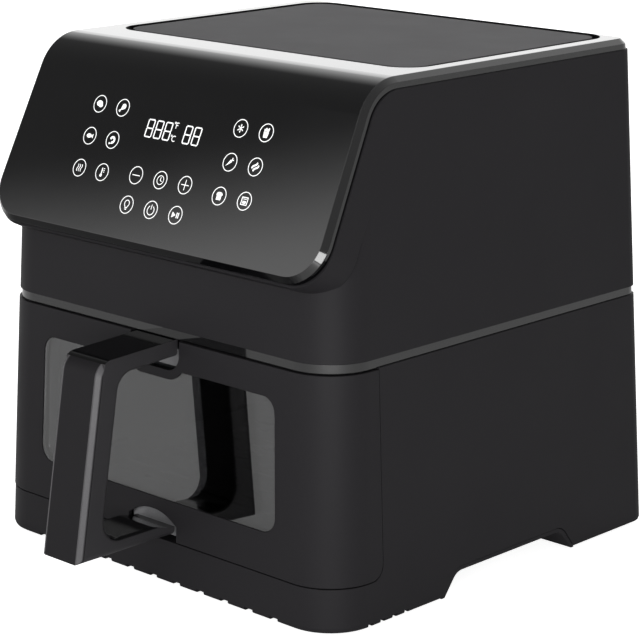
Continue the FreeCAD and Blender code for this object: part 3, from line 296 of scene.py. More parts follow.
def satin_plastic(name, colour, roughness, gloss=0.25):
    """Fine-textured moulded or painted plastic with a low, even sheen."""
    material, tree, shader = new_material(name, {"Specular IOR Level": gloss, "IOR": 1.5})
    place, noise = grain(tree, shader, size_mm=0.8, depth_mm=0.01, edge_mm=0.6)
    uneven(tree, shader, place, size_mm=30, low=roughness * 0.97, high=roughness * 1.03)
    shade(tree, shader, noise.outputs[0], toned(colour, 0.94), toned(colour, 1.06))
    return material


def handle_abs(side, top):
    """Fine-textured dark grey ABS; faces that look up are painted gloss black and polished, as painted shade
    on the handle's top.
    """
    material, tree, shader = new_material("handle_abs_painted_top_shade", {"Specular IOR Level": 0.3, "IOR": 1.5})
    grain(tree, shader, size_mm=0.8, depth_mm=0.006, edge_mm=0.6)
    look = upward(tree)
    textured, polished = 0.5, 0.14
    spread = add_node(tree, "ShaderNodeMapRange",
                      {"From Min": RAMP_START, "From Max": RAMP_END, "To Min": textured, "To Max": polished},
                      {"Value": look})
    tree.links.new(spread.outputs[0], shader.inputs["Roughness"])
    # Painted shade: the colour runs from the sides' grey to gloss black as a face looks up
    shade(tree, shader, look, side, top)
    return material


def soft_rubber(name, colour):
    """Moulded rubber or silicone: dull, with a dusty sheen at grazing angles."""
    material, tree, shader = new_material(name, {"Specular IOR Level": 0.3, "IOR": 1.41,
                                                 "Sheen Weight": 0.15, "Sheen Roughness": 0.5})
    place, noise = grain(tree, shader, size_mm=0.5, depth_mm=0.015, edge_mm=0.4)
    uneven(tree, shader, place, size_mm=12, low=0.66, high=0.8)
    shade(tree, shader, noise.outputs[0], toned(colour, 0.9), toned(colour, 1.1))
    return material


def glass(name, tint, roughness, coat):
    """Toughened or pressed glass: clean faces over a tint. A hard coat, if any, mirrors more of the room."""
    material, tree, shader = new_material(name, {"Transmission Weight": 1.0, "IOR": 1.52, "Coat Weight": coat,
                                                 "Coat IOR": 1.65, "Coat Roughness": 0.0})
    place, noise = grain(tree, shader, size_mm=50.0, depth_mm=0.002, edge_mm=0.2, detail=1.0)
    uneven(tree, shader, place, size_mm=25, low=roughness, high=roughness + 0.02)
    shade(tree, shader, noise.outputs[0], toned(tint, 0.97), tint)
    return material


def baked_coating(colour):
    """Non-stick coating sprayed on aluminium: dark and satin, with a fine pale fleck."""
    material, tree, shader = new_material("sprayed_nonstick_coating",
                                          {"Specular IOR Level": 0.45, "IOR": 1.4})
    place, _ = grain(tree, shader, size_mm=0.9, depth_mm=0.02, edge_mm=0.6)
    uneven(tree, shader, place, size_mm=20, low=0.38, high=0.5)
    fleck_mm = 1.6
    core, rim = 0.05, 0.2
    paler = [v + 0.05 for v in colour]
    flecks = add_node(tree, "ShaderNodeTexVoronoi", {"Scale": 1 / (fleck_mm * MM)}, {"Vector": place})
    near = add_node(tree, "ShaderNodeMapRange",
                    {"From Min": core, "From Max": rim, "To Min": 0.8, "To Max": 0.2},
                    {"Value": flecks.outputs["Distance"]})
    shade(tree, shader, near.outputs[0], colour, paler)
    return material


def sheet_metal(name, colour, roughness, grain_mm, stretch=1.0):
    """Rolled, plated or blasted metal, with streaks along its rolling direction where it is stretched."""
    material, tree, shader = new_material(name, {"Metallic": 1.0})
    place, noise = grain(tree, shader, size_mm=grain_mm, depth_mm=0.004, edge_mm=0.4)
    turn = add_node(tree, "ShaderNodeMapping", {"Scale": (1.0, stretch, 1.0)}, {"Vector": place})
    tree.links.new(turn.outputs[0], noise.inputs["Vector"])
    uneven(tree, shader, place, size_mm=18, low=roughness * 0.85, high=roughness * 1.2)
    shade(tree, shader, noise.outputs[0], toned(colour, 0.85), colour)
    return material


def heater_steel():
    """Oxidised nickel-steel heater sheath: brown-grey with patches of blue and straw heat tint."""
    material, tree, shader = new_material("oxidised_heater_steel", {"Metallic": 1.0})
    place, _ = grain(tree, shader, size_mm=0.6, depth_mm=0.01, edge_mm=0.3)
    uneven(tree, shader, place, size_mm=9, low=0.4, high=0.6)
    patch_mm = 30
    patches = add_node(tree, "ShaderNodeTexNoise", {"Scale": 1 / (patch_mm * MM)}, {"Vector": place})
    shade(tree, shader, patches.outputs[0], linear("#4a4138"), linear("#565a62"))
    return material


def solder_resist(colour):
    """Green solder resist over copper: gloss lacquer with paler lines where tracks run under it."""
    material, tree, shader = new_material("solder_resist_board",
                                          {"Specular IOR Level": 0.5, "Coat Weight": 0.4})
    place, _ = grain(tree, shader, size_mm=3.0, depth_mm=0.01, edge_mm=0.3)
    uneven(tree, shader, place, size_mm=10, low=0.28, high=0.4)
    track_mm = 9
    tracks = add_node(tree, "ShaderNodeTexBrick", {"Scale": 1 / (track_mm * MM), "Mortar Size": 0.03},
                      {"Vector": place})
    shade(tree, shader, tracks.outputs["Fac"], colour, toned(colour, 1.8))
    return material


def printed_white(colour):
    """Screen print lit from behind: flat white with a weak even glow."""
    material, tree, shader = new_material("backlit_screen_print", {"Emission Strength": 0.4,
                                                                   "Emission Color": (*colour, 1)})
    place, noise = grain(tree, shader, size_mm=0.4, depth_mm=0.002, edge_mm=0.05)
    uneven(tree, shader, place, size_mm=2, low=0.5, high=0.6)
    shade(tree, shader, noise.outputs[0], toned(colour, 0.95), colour)
    return material


def make_finishes():
    """One material for each material slot of the record, and one for the print."""
    finish = bpy.context.scene.fryer_finishes
    return {
        "matte_black_plastic": matte_abs(finish.matte),
        "gloss_black_plastic": gloss_abs(finish.gloss, roughness=0.06, coat=0.5),
        # The handle's top takes the gloss black as painted shade
        "handle_gloss": handle_abs(finish.handle, finish.gloss),
        "inlay_grey": satin_plastic("satin_painted_plate", finish.inlay, roughness=0.6, gloss=0.1),
        "handle_grip_plastic": satin_plastic("soft_touch_grip", finish.grip, roughness=0.55, gloss=0.1),
        "accent_grey": satin_plastic("satin_accent_paint", finish.accent, roughness=0.4),
        "grey_bracket": sheet_metal("bead_blasted_aluminium", finish.bracket, roughness=0.55, grain_mm=0.5),
        "dark_plastic": satin_plastic("moulded_polypropylene", linear("#17171a"), roughness=0.42),
        "foot_rubber": soft_rubber("moulded_foot_rubber", finish.rubber),
        "silicone_black": soft_rubber("moulded_silicone", finish.rubber),
        "window_glass": glass("toughened_window_glass", linear("#5b5b5e"), roughness=0.0, coat=0.86),
        "lamp_glass": glass("pressed_lamp_glass", linear("#f2f0ea"), roughness=0.12, coat=0.0),
        "nonstick_coating": baked_coating(finish.coating),
        "steel_sheet": sheet_metal("rolled_stainless_sheet", linear("#b9b8b4"), roughness=0.3, grain_mm=0.6,
                                   stretch=12.0),
        "aluminised_sheet": sheet_metal("aluminised_steel_sheet", linear("#a9abad"), roughness=0.42,
                                        grain_mm=2.4),
        "zinc_screw": sheet_metal("zinc_plated_steel", linear("#c2c4c6"), roughness=0.28, grain_mm=0.3),
        "heater_sheath": heater_steel(),
        "green_board": solder_resist(finish.board),
        "panel_print": printed_white(finish.printing),
    }


finishes = {}


def finish_of(slot):
    """Material of a slot; all are made at the first call."""
    if not finishes:
        finishes.update(make_finishes())
    return finishes[slot]


def dress(nodes):
    """Gives CAD nodes the material of their slot in the record."""
    slots = {part["node"]: part["material_slot"] for part in frame["record"]["subparts"]}
    for name in nodes:
        piece = frame["nodes"][name]
        if not piece.material_slots:
            piece.data.materials.append(None)
        for slot in piece.material_slots:
            slot.material = finish_of(slots[name])


def link(name, data):
    """New object in the scene's collection."""
    thing = bpy.data.objects.new(name, data)
    bpy.context.scene.collection.objects.link(thing)
    return thing


def new_group(name, sizes):
    """Geometry node group with named sizes and a material. Gives the group and its inputs and outputs."""
    group = bpy.data.node_groups.new(name, "GeometryNodeTree")
    group.interface.new_socket("Geometry", in_out="INPUT", socket_type="NodeSocketGeometry")
    for label in sizes:
        group.interface.new_socket(label, in_out="INPUT", socket_type="NodeSocketFloat")
    group.interface.new_socket("Material", in_out="INPUT", socket_type="NodeSocketMaterial")
    group.interface.new_socket("Geometry", in_out="OUTPUT", socket_type="NodeSocketGeometry")
    return group, add_node(group, "NodeGroupInput").outputs, add_node(group, "NodeGroupOutput").inputs


def repeat(group, given, taken, shape, turn):
    """Ends a group: the shape on every point, turned, made real and given its material."""
    copies = add_node(group, "GeometryNodeInstanceOnPoints", {"Rotation": turn},
                      {"Points": given["Geometry"], "Instance": shape})
    real = add_node(group, "GeometryNodeRealizeInstances", {}, {0: copies.outputs[0]})
    dyed = add_node(group, "GeometryNodeSetMaterial", {},
                    {"Geometry": real.outputs[0], "Material": given["Material"]})
    group.links.new(dyed.outputs[0], taken["Geometry"])


def bake(name, group, points, values):
    """Plain mesh object of a node group's result on some points."""
    mesh = bpy.data.meshes.new(name + "_points")
    mesh.from_pydata(points, [], [])
    holder = link(name + "_points", mesh)
    nodes = holder.modifiers.new("nodes", "NODES")
    nodes.node_group = group
    for socket in group.interface.items_tree:
        if socket.in_out == "INPUT" and socket.name in values:
            nodes[socket.identifier] = values[socket.name]
    graph = bpy.context.evaluated_depsgraph_get()
    plain = bpy.data.meshes.new_from_object(holder.evaluated_get(graph))
    plain.name = name
    plain.materials.clear()
    plain.materials.append(values["Material"])
    holder.modifiers.remove(nodes)
    bpy.data.objects.remove(holder)
    return link(name, plain)


def panel_frame(panel):
    """Foot of the control face at its middle, and the directions up the face and out of it."""
    corners = [vertex.co for vertex in frame["nodes"]["control_fascia"].data.vertices]
    foot = min(corners, key=lambda corner: corner.y)
    up = Vector((0, math.sin(panel.tilt), math.cos(panel.tilt)))
    out = Vector((0, -math.cos(panel.tilt), math.sin(panel.tilt)))
    return Vector((0, foot.y, foot.z)), up, out


def key_places(panel):
    """Middles of the keys, across and up the face: three rows of four at the sides, then two of three."""
    places = []
    for row in range(3):
        for x in (-panel.outer_x, -panel.inner_x, panel.inner_x, panel.outer_x):
            places.append((x, panel.top_s - row * panel.row_pitch))
    for row in range(2):
        for column in (-1, 0, 1):
            places.append((column * panel.middle_pitch, panel.middle_s - row * panel.middle_row_pitch))
    return places


def key_points(panel, depth):
    """Middles of the keys in space, some depth behind the control face."""
    foot, up, out = panel_frame(panel)
    return [foot + Vector((x, 0, 0)) + up * s - out * depth for x, s in key_places(panel)]


def disc(x, y, r, stretch=1.0, count=24):
    """Filled circle, or an oval when it is stretched in height."""
    turns = [2 * math.pi * i / count for i in range(count)]
    return [(x + r * math.cos(turn), y + r * stretch * math.sin(turn)) for turn in turns]


def bar(x0, y0, x1, y1, width):
    """Straight stroke between two points."""
    along = Vector((x1 - x0, y1 - y0)).normalized() * width / 2
    return [(x0 + along.y, y0 - along.x), (x1 + along.y, y1 - along.x), (x1 - along.y, y1 + along.x),
            (x0 - along.y, y0 + along.x)]


def arc(x, y, r, width, start, end, count=20):
    """Part of a ring between two angles in degrees."""
    turns = [math.radians(start + (end - start) * i / count) for i in range(count + 1)]
    outer = [(x + (r + width / 2) * math.cos(turn), y + (r + width / 2) * math.sin(turn)) for turn in turns]
    inner = [(x + (r - width / 2) * math.cos(turn), y + (r - width / 2) * math.sin(turn)) for turn in turns]
    return outer + inner[::-1]


def wave(x, y, length, swing, width, turn, count=12):
    """Wavy stroke through a point, turned by degrees."""
    c, s = math.cos(math.radians(turn)), math.sin(math.radians(turn))
    edges = []
    for side in (-1, 1):
        edge = []
        for i in range(count + 1):
            along = length * (i / count - 0.5)
            across = swing * math.sin(2 * math.pi * i / count) + side * width / 2
            edge.append((x + along * c - across * s, y + along * s + across * c))
        edges.append(edge)
    return edges[0] + edges[1][::-1]


def key_signs():
    """Outlines of each key's sign in millimetres about its middle, in the order of key_places."""
    steak = [disc(-0.4, 0.3, 2.6, 0.72), disc(1.1, -0.9, 1.7, 0.7)]
    drumstick = [disc(0.8, 0.9, 1.75), disc(0.1, 0.1, 1.35), bar(-0.4, -0.4, -2.0, -2.0, 0.8),
                 disc(-2.4, -1.9, 0.5), disc(-1.9, -2.4, 0.5)]
    spokes = [(math.cos(turn), math.sin(turn)) for turn in (math.pi / 2, math.pi / 6, -math.pi / 6)]
    snow = [bar(-2.6 * c, -2.6 * s, 2.6 * c, 2.6 * s, 0.45) for c, s in spokes]
    snow += [disc(reach * c, reach * s, 0.45) for c, s in spokes for reach in (1.9, -1.9)]
    fries = [[(-1.5, -3.0), (1.5, -3.0), (2.0, 0.4), (-2.0, 0.4)]]
    for x, top in ((-1.5, 2.2), (-0.5, 2.9), (0.5, 2.5), (1.5, 2.9)):
        fries.append(bar(x, 0.6, x * 1.1, top, 0.75))
    fish = [disc(-0.6, 0, 2.2, 0.62), [(1.0, 0), (2.9, -1.4), (2.9, 1.4)]]
    shrimp = [arc(-0.1, 0, 1.7, 1.5, -110, 150), disc(-1.5, 1.0, 0.85),
              [(-0.5, -2.4), (-2.6, -1.6), (-2.2, -3.0)]]
    carrot = [[(-2.7, -2.6), (1.6, 0.2), (0.2, 1.6)], bar(0.9, 0.9, 2.7, 1.6, 0.6),
              bar(0.9, 0.9, 1.6, 2.7, 0.6)]
    bacon = [wave(x, -x, 5.2, 0.35, 1.2, 45) for x in (-0.75, 0.75)]
    heat = [wave(x, 0, 4.6, 0.45, 0.5, 90) for x in (-1.7, 0, 1.7)]
    probe = [disc(-0.4, -1.9, 1.0), bar(-0.4, -1.9, -0.4, 2.8, 0.75)]
    probe += [bar(0.7, y, 1.8, y, 0.45) for y in (0.2, 1.3, 2.4)]
    bread = [bar(0, -2.4, 0, 0.9, 3.6), disc(0, 1.0, 2.4, 0.6)]
    oven = [bar(-2.5, y, 2.5, y, 0.55) for y in (2.2, -2.2)]
    oven += [bar(x, -2.2, x, 2.2, 0.55) for x in (-2.3, 2.3)]
    oven += [bar(-1.3, -0.7, 1.3, -0.7, 1.6), bar(-1.4, 1.2, 1.4, 1.2, 0.45)]
    minus = [bar(-3.2, 0, 3.2, 0, 0.5)]
    clock = [arc(0, 0, 2.7, 0.45, 1, 359, 32), bar(0, -0.2, 0, 1.8, 0.42), bar(-0.2, 0, 1.3, -0.8, 0.42)]
    plus = minus + [bar(0, -3.2, 0, 3.2, 0.5)]
    bulb = [arc(0, 0.8, 2.0, 0.5, -50, 230), bar(1.25, -0.7, 0.75, -1.7, 0.5),
            bar(-1.25, -0.7, -0.75, -1.7, 0.5), bar(-1.0, -1.9, 1.0, -1.9, 0.5),
            bar(-0.7, -2.8, 0.7, -2.8, 0.6)]
    power = [arc(0, -0.3, 2.8, 0.5, 120, 420), bar(0, 0.2, 0, 3.2, 0.5)]
    play = [[(-2.9, -1.8), (0.1, 0), (-2.9, 1.8)]]
    play += [bar(x, -1.7, x, 1.7, 0.7) for x in (1.1, 2.4)]
    return [steak, drumstick, snow, fries, fish, shrimp, carrot, bacon, heat, probe, bread, oven,
            minus, clock, plus, bulb, power, play]


def digit(panel):
    """Outlines of a lit figure eight: seven pointed segments about its middle, in millimetres."""
    half_x = (panel.digit_width - panel.digit_line) / MM / 2
    half_y = (panel.digit_height - panel.digit_line) / MM / 2
    thick = panel.digit_line / MM / 2
    outlines = []
    for y in (-half_y, 0, half_y):
        end = half_x - SEGMENT_GAP
        outlines.append([(-end, y), (thick - end, y - thick), (end - thick, y - thick), (end, y),
                         (end - thick, y + thick), (thick - end, y + thick)])
    for x in (-half_x, half_x):
        for low in (-half_y, 0):
            start, end = low + SEGMENT_GAP, low + half_y - SEGMENT_GAP
            outlines.append([(x, start), (x + thick, start + thick), (x + thick, end - thick), (x, end),
                             (x - thick, end - thick), (x - thick, start + thick)])
    return outlines


def display_signs(panel):
    """Places and outlines on the display: three digits, two digits and two degree marks."""
    signs = []
    for first, count in ((panel.left_digit_x, 3), (panel.right_digit_x, 2)):
        for i in range(count):
            signs.append((first + i * panel.digit_pitch, panel.digit_s, digit(panel)))
    dot = arc(-1.0, 1.5, 0.5, 0.35, 2, 358, 16)
    upper = [bar(0.2, -1.9, 0.2, 1.9, 0.5), bar(0.2, 1.65, 2.2, 1.65, 0.5), bar(0.2, 0.1, 1.7, 0.1, 0.5)]
    lower = [arc(1.5, 0, 1.65, 0.5, 50, 310)]
    for rise, letter in ((panel.degree_rise, upper), (-panel.degree_drop, lower)):
        signs.append((panel.degree_x, panel.digit_s + rise, letter + [dot]))
    return signs


class FRYER_OT_housing(bpy.types.Operator):
    """Finish the outer housing, its trim, the base and the feet"""
    bl_idname = "fryer.housing"
    bl_label = "Housing"

    def execute(self, context):
        dress(["base_plate", "rubber_feet", "lower_housing", "trim_band", "upper_housing", "control_fascia",
               "top_inlay", "rear_grille", "cord_gland"])
        return {"FINISHED"}


class FRYER_OT_key_rings(bpy.types.Operator):
    """Print a ring round each key on the control face"""
    bl_idname = "fryer.key_rings"
    bl_label = "Key rings"

    def execute(self, context):
        panel = context.scene.fryer_panel
        group, given, taken = new_group("key_ring_print", ["Radius", "Line", "Thickness"])
        circle = add_node(group, "GeometryNodeCurvePrimitiveCircle", {"Resolution": 48},
                          {"Radius": given["Radius"]})
        section = add_node(group, "GeometryNodeCurvePrimitiveQuadrilateral", {},
                           {"Width": given["Line"], "Height": given["Thickness"]})
        ring = add_node(group, "GeometryNodeCurveToMesh", {},
                        {"Curve": circle.outputs[0], "Profile Curve": section.outputs[0]})
        repeat(group, given, taken, ring.outputs[0], (math.pi / 2 - panel.tilt, 0, 0))
        rings = bake("key_rings", group, key_points(panel, depth=0),
                     {"Radius": panel.ring_d / 2, "Line": panel.line, "Thickness": 2 * panel.ink,
                      "Material": finish_of("panel_print")})
        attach(rings, "housing")
        return {"FINISHED"}


class FRYER_OT_panel_signs(bpy.types.Operator):
    """Print the keys' signs and the display's digits on the control face"""
    bl_idname = "fryer.panel_signs"
    bl_label = "Panel signs"

    def execute(self, context):
        panel = context.scene.fryer_panel
        foot, up, out = panel_frame(panel)
        across = Vector((1, 0, 0))
        signs = [(x, s, sign) for (x, s), sign in zip(key_places(panel), key_signs())]
        shape = bmesh.new()
        for x, s, sign in signs + display_signs(panel):
            for outline in sign:
                faces = []
                for height in (-panel.ink, panel.ink):
                    middle = foot + across * x + up * s + out * height
                    corners = [middle + across * a * MM + up * b * MM for a, b in outline]
                    faces.append([shape.verts.new(corner) for corner in corners])
                low, high = faces
                shape.faces.new(high)
                shape.faces.new(low[::-1])
                for i in range(len(low)):
                    shape.faces.new((low[i - 1], low[i], high[i], high[i - 1]))
        bmesh.ops.recalc_face_normals(shape, faces=shape.faces)
        mesh = bpy.data.meshes.new("panel_signs")
        shape.to_mesh(mesh)
        shape.free()
        mesh.materials.append(finish_of("panel_print"))
        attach(link("panel_signs", mesh), "housing")
        return {"FINISHED"}


class FRYER_OT_touch_springs(bpy.types.Operator):
    """Wind the coil springs behind the touch keys"""
    bl_idname = "fryer.touch_springs"
    bl_label = "Touch springs"

    def execute(self, context):
        panel = context.scene.fryer_panel
        group, given, taken = new_group("touch_spring_coil", ["Radius", "Length", "Wire"])
        coil = add_node(group, "GeometryNodeCurveSpiral", {"Resolution": 20, "Rotations": 5.0},
                        {"Start Radius": given["Radius"], "End Radius": given["Radius"],
                         "Height": given["Length"]})
        wire = add_node(group, "GeometryNodeCurvePrimitiveCircle", {"Resolution": 8},
                        {"Radius": given["Wire"]})
        spring = add_node(group, "GeometryNodeCurveToMesh", {"Fill Caps": True},
                          {"Curve": coil.outputs[0], "Profile Curve": wire.outputs[0]})
        repeat(group, given, taken, spring.outputs[0], (-math.pi / 2 - panel.tilt, 0, 0))
        points = key_points(panel, depth=panel.spring_gap + panel.spring_wire / 2)
        springs = bake("coil_touch_springs", group, points,
                       {"Radius": (panel.spring_d - panel.spring_wire) / 2,
                        "Length": panel.spring_length - panel.spring_wire, "Wire": panel.spring_wire / 2,
                        "Material": finish_of("zinc_screw")})
        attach(springs, "housing")
        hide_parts("touch_springs")
        return {"FINISHED"}


def shifted(group, shape, height):
    """Shape moved along Z in a node group."""
    place = add_node(group, "ShaderNodeCombineXYZ", {}, {"Z": height.outputs[0]})
    moved = add_node(group, "GeometryNodeTransform", {},
                     {"Geometry": shape.outputs[0], "Translation": place.outputs[0]})
    return moved.outputs[0]


def screw_group(turn):
    """Node group of a pan-head screw with a cross recess: its outer face on the point, its shank behind."""
    group, given, taken = new_group("cross_recess_screw",
                                    ["Head radius", "Head height", "Shank radius", "Shank length", "Slot"])
    narrow = add_node(group, "ShaderNodeMath", {"operation": "MULTIPLY", 1: CROWN_SHARE},
                      {0: given["Head radius"]})
    crown = add_node(group, "GeometryNodeMeshCone", {"Vertices": 40},
                     {"Radius Bottom": given["Head radius"], "Radius Top": narrow.outputs[0],
                      "Depth": given["Head height"]})
    seat = add_node(group, "ShaderNodeMath", {"operation": "MULTIPLY", 1: -1.0}, {0: given["Head height"]})
    recess = add_node(group, "GeometryNodeMeshBoolean", {"operation": "DIFFERENCE", "solver": "EXACT"},
                      {"Mesh 1": shifted(group, crown, seat)})
    for wide in (0, 1):
        span = add_node(group, "ShaderNodeCombineXYZ", {},
                        {wide: given["Head radius"], 1 - wide: given["Slot"], "Z": given["Head height"]})
        blade = add_node(group, "GeometryNodeMeshCube", {}, {"Size": span.outputs[0]})
        group.links.new(blade.outputs[0], recess.inputs["Mesh 2"])
    stem = add_node(group, "GeometryNodeMeshCylinder", {"Vertices": 24},
                    {"Radius": given["Shank radius"], "Depth": given["Shank length"]})
    middle = add_node(group, "ShaderNodeMath", {"operation": "MULTIPLY_ADD", 1: -0.5},
                      {0: given["Shank length"], 2: seat.outputs[0]})
    screw = add_node(group, "GeometryNodeJoinGeometry", {}, {0: recess.outputs[0]})
    group.links.new(shifted(group, stem, middle), screw.inputs[0])
    repeat(group, given, taken, screw.outputs[0], turn)
    return group


class FRYER_OT_base_screws(bpy.types.Operator):
    """Drive the four screws that hold the base plate, heads down"""
    bl_idname = "fryer.base_screws"
    bl_label = "Base screws"

    def execute(self, context):
        screw = context.scene.fryer_screws
        low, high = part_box("base_screws")
        inset = screw.base_head_d / 2
        points = []
        for x in (low.x + inset, high.x - inset):
            for y in (low.y + inset, high.y - inset):
                points.append((x, y, low.z))
        screws = bake("cross_base_screws", screw_group((math.pi, 0, 0)), points,
                      {"Head radius": screw.base_head_d / 2, "Head height": screw.head,
                       "Shank radius": screw.base_d / 2, "Shank length": high.z - low.z - screw.head,
                       "Slot": screw.slot, "Material": finish_of("zinc_screw")})
        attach(screws, "housing")
        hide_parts("base_screws")
        return {"FINISHED"}


class FRYER_OT_drawer(bpy.types.Operator):
    """Finish the drawer with its window, tub, handle and crisper plate"""
    bl_idname = "fryer.drawer"
    bl_label = "Drawer"

    def execute(self, context):
        dress(["drawer_front", "window_glass", "window_gasket", "tub_seal", "drawer_tub", "handle_core",
               "handle_grip", "handle_accents", "handle_brackets", "handle_screws", "crisper_plate",
               "crisper_bumpers"])
        return {"FINISHED"}


class FRYER_OT_cavity(bpy.types.Operator):
    """Finish the cavity with its heater, guard, lamp and fan drive"""
    bl_idname = "fryer.cavity"
    bl_label = "Cavity and drive"

    def execute(self, context):
        dress(["cavity_liner", "drawer_rails", "heating_element", "heater_terminals", "heater_straps",
               "heater_guard", "lamp_holder", "lamp_lens", "motor_body", "motor_bracket", "air_duct",
               "convection_fan", "motor_shaft", "cooling_fan", "fan_nut"])
        return {"FINISHED"}


class FRYER_OT_electrics(bpy.types.Operator):
    """Finish the boards, sensors and the drawer switch"""
    bl_idname = "fryer.electrics"
    bl_label = "Electrics"

    def execute(self, context):
        dress(["display_module", "control_board", "power_board", "temperature_sensor", "thermal_fuse",
               "drawer_switch", "switch_plunger"])
        return {"FINISHED"}


class FRYER_OT_stage(bpy.types.Operator):
    """Make the pale floor, the soft light and the camera"""
    bl_idname = "fryer.stage"
    bl_label = "Studio"

    def execute(self, context):
        studio = context.scene.fryer_studio
        make_floor(studio)
        context.scene.view_settings.view_transform = "Standard"
        make_tent(studio)
        make_softbox(studio)
        make_camera(studio)
        return {"FINISHED"}


def make_floor(studio):
    """Wide pale floor: its own shade keeps the shadow, and a glow brings it up to the backdrop's white."""
    half = studio.floor_half
    corners = [(-half, -half, 0), (half, -half, 0), (half, half, 0), (-half, half, 0)]
    mesh = bpy.data.meshes.new("studio_floor")
    mesh.from_pydata(corners, [], [(0, 1, 2, 3)])
    floor = link("studio_floor", mesh)
    material, tree, shader = new_material("pale_studio_floor", {"Base Color": (*studio.floor_tone, 1),
                                                                "Roughness": 0.9, "Specular IOR Level": 0.0,
                                                                "Emission Color": (1, 1, 1, 1)})
    path = add_node(tree, "ShaderNodeLightPath").outputs
    seen = add_node(tree, "ShaderNodeMath", {"operation": "MAXIMUM"},
                    {0: path["Is Camera Ray"], 1: path["Is Transmission Ray"]})
    glow = add_node(tree, "ShaderNodeMath", {"operation": "MULTIPLY", 1: studio.floor_glow},
                    {0: seen.outputs[0]})
    tree.links.new(glow.outputs[0], shader.inputs["Emission Strength"])
    mesh.materials.append(material)


def make_tent(studio):
    """White tent, dimmer at the right, with a dark flag at the upper left for the gloss black to mirror."""
    world = bpy.data.worlds.new("studio_world")
    bpy.context.scene.world = world
    world.use_nodes = True
    tree = world.node_tree
    tree.nodes.clear()
    place = add_node(tree, "ShaderNodeTexCoord")
    way = add_node(tree, "ShaderNodeSeparateXYZ", {}, {0: place.outputs["Generated"]}).outputs
    lean = add_node(tree, "ShaderNodeMath", {"operation": "SUBTRACT"}, {0: way["Z"], 1: way["X"]})
    fade = add_node(tree, "ShaderNodeMapRange",
                    {"interpolation_type": "SMOOTHSTEP", "From Min": studio.flag_start,
                     "From Max": studio.flag_end, "To Min": studio.soft_light, "To Max": studio.flag_light},
                    {"Value": lean.outputs[0]})
    side = add_node(tree, "ShaderNodeMapRange",
                    {"interpolation_type": "SMOOTHSTEP", "From Min": studio.side_start,
                     "From Max": studio.side_end, "To Min": 1.0, "To Max": studio.side_light},
                    {"Value": way["X"]})
    rear = add_node(tree, "ShaderNodeMapRange",
                    {"interpolation_type": "SMOOTHSTEP", "From Min": studio.back_start,
                     "From Max": studio.back_end, "To Min": 0.0, "To Max": studio.back_light},
                    {"Value": way["Y"]})
    over = add_node(tree, "ShaderNodeMath", {"operation": "MAXIMUM"},
                    {0: fade.outputs[0], 1: rear.outputs[0]})
    tent = add_node(tree, "ShaderNodeMath", {"operation": "MULTIPLY"},
                    {0: over.outputs[0], 1: side.outputs[0]})
    path = add_node(tree, "ShaderNodeLightPath").outputs
    shown = add_node(tree, "ShaderNodeMath", {"operation": "MAXIMUM"},
                     {0: tent.outputs[0], 1: path["Is Camera Ray"]})
    back = add_node(tree, "ShaderNodeBackground", {"Color": (1, 1, 1, 1)}, {"Strength": shown.outputs[0]})
    add_node(tree, "ShaderNodeOutputWorld", {}, {"Surface": back.outputs[0]})


def look_from(thing, turn, lift):
    """Turns a lamp or camera to look from an azimuth and a height. Gives the direction back to it."""
    back = Vector((math.sin(turn) * math.cos(lift), -math.cos(turn) * math.cos(lift), math.sin(lift)))
    thing.rotation_mode = "QUATERNION"
    thing.rotation_quaternion = (-back).to_track_quat("-Z", "Y")
    return back


def make_softbox(studio):
    """Low, wide softbox at the camera: its sheen lifts the rounded front corner above both walls."""
    lamp = bpy.data.lights.new("softbox", "AREA")
    lamp.energy = studio.box_watts
    lamp.shape = "RECTANGLE"
    lamp.size = studio.box_size
    lamp.size_y = studio.box_height
    softbox = link("softbox", lamp)
    back = look_from(softbox, studio.azimuth, studio.box_lift)
    softbox.location = Vector((0, 0, CAD_BOX[1][2] / 2)) + back * studio.box_distance


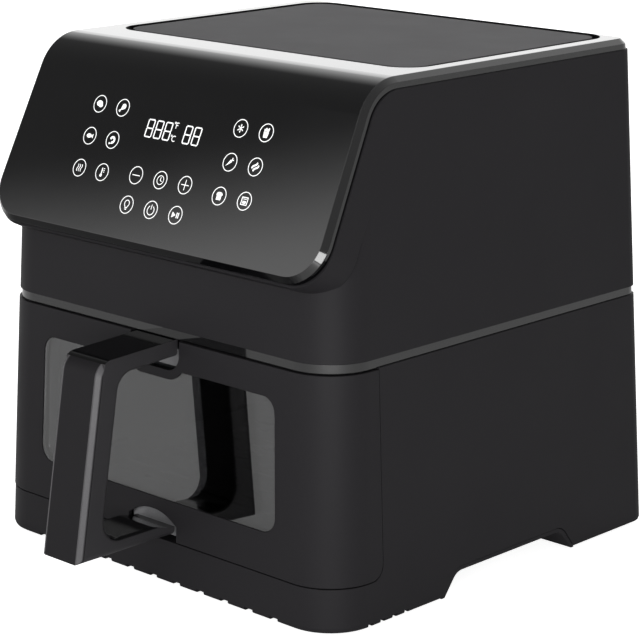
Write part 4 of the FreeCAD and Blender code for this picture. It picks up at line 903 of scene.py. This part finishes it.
def make_camera(studio):
    """Camera of the photograph, from a perspective fit."""
    camera = bpy.data.cameras.new("camera")
    camera.sensor_width = SENSOR_WIDTH
    camera.lens = studio.focal_pixels * SENSOR_WIDTH / PICTURE_WIDTH
    camera.shift_x = studio.shift_pixels[0] / PICTURE_WIDTH
    camera.shift_y = studio.shift_pixels[1] / PICTURE_WIDTH
    viewer = link("camera", camera)
    look_from(viewer, studio.azimuth, studio.elevation)
    viewer.location = studio.camera_place
    bpy.context.scene.camera = viewer


class FRYER_PT_sidebar(bpy.types.Panel):
    """Fryer tools in the sidebar"""
    bl_idname = "FRYER_PT_sidebar"
    bl_label = "Drawer Air Fryer"
    bl_space_type = "VIEW_3D"
    bl_region_type = "UI"
    bl_category = "Fryer"

    def draw(self, context):
        for operator in OPERATORS:
            self.layout.operator(operator.bl_idname)
        for name in SETTINGS:
            settings = getattr(context.scene, name)
            column = self.layout.column(align=True)
            for key in settings.__annotations__:
                column.prop(settings, key)


OPERATORS = (FRYER_OT_housing, FRYER_OT_drawer, FRYER_OT_cavity, FRYER_OT_electrics, FRYER_OT_key_rings,
             FRYER_OT_panel_signs, FRYER_OT_touch_springs, FRYER_OT_base_screws, FRYER_OT_stage)
SETTINGS = {"fryer_finishes": FryerFinishes, "fryer_panel": FryerPanelSizes, "fryer_screws": FryerScrewSizes,
            "fryer_studio": FryerStudio}


def register():
    """Adds the add-on's classes, and its settings to the scene."""
    for kind in (*SETTINGS.values(), *OPERATORS, FRYER_PT_sidebar):
        bpy.utils.register_class(kind)
    for name, kind in SETTINGS.items():
        setattr(bpy.types.Scene, name, PointerProperty(type=kind))


def unregister():
    """Takes the settings and the classes away again."""
    for name in SETTINGS:
        delattr(bpy.types.Scene, name)
    for kind in reversed((*SETTINGS.values(), *OPERATORS, FRYER_PT_sidebar)):
        bpy.utils.unregister_class(kind)


def main():
    """Dresses the CAD pieces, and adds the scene's own pieces and the studio."""
    register()
    bpy.ops.fryer.housing()
    bpy.ops.fryer.drawer()
    bpy.ops.fryer.cavity()
    bpy.ops.fryer.electrics()
    bpy.ops.fryer.key_rings()
    bpy.ops.fryer.panel_signs()
    bpy.ops.fryer.touch_springs()
    bpy.ops.fryer.base_screws()
    bpy.ops.fryer.stage()


if __name__ == "__main__":
    main()
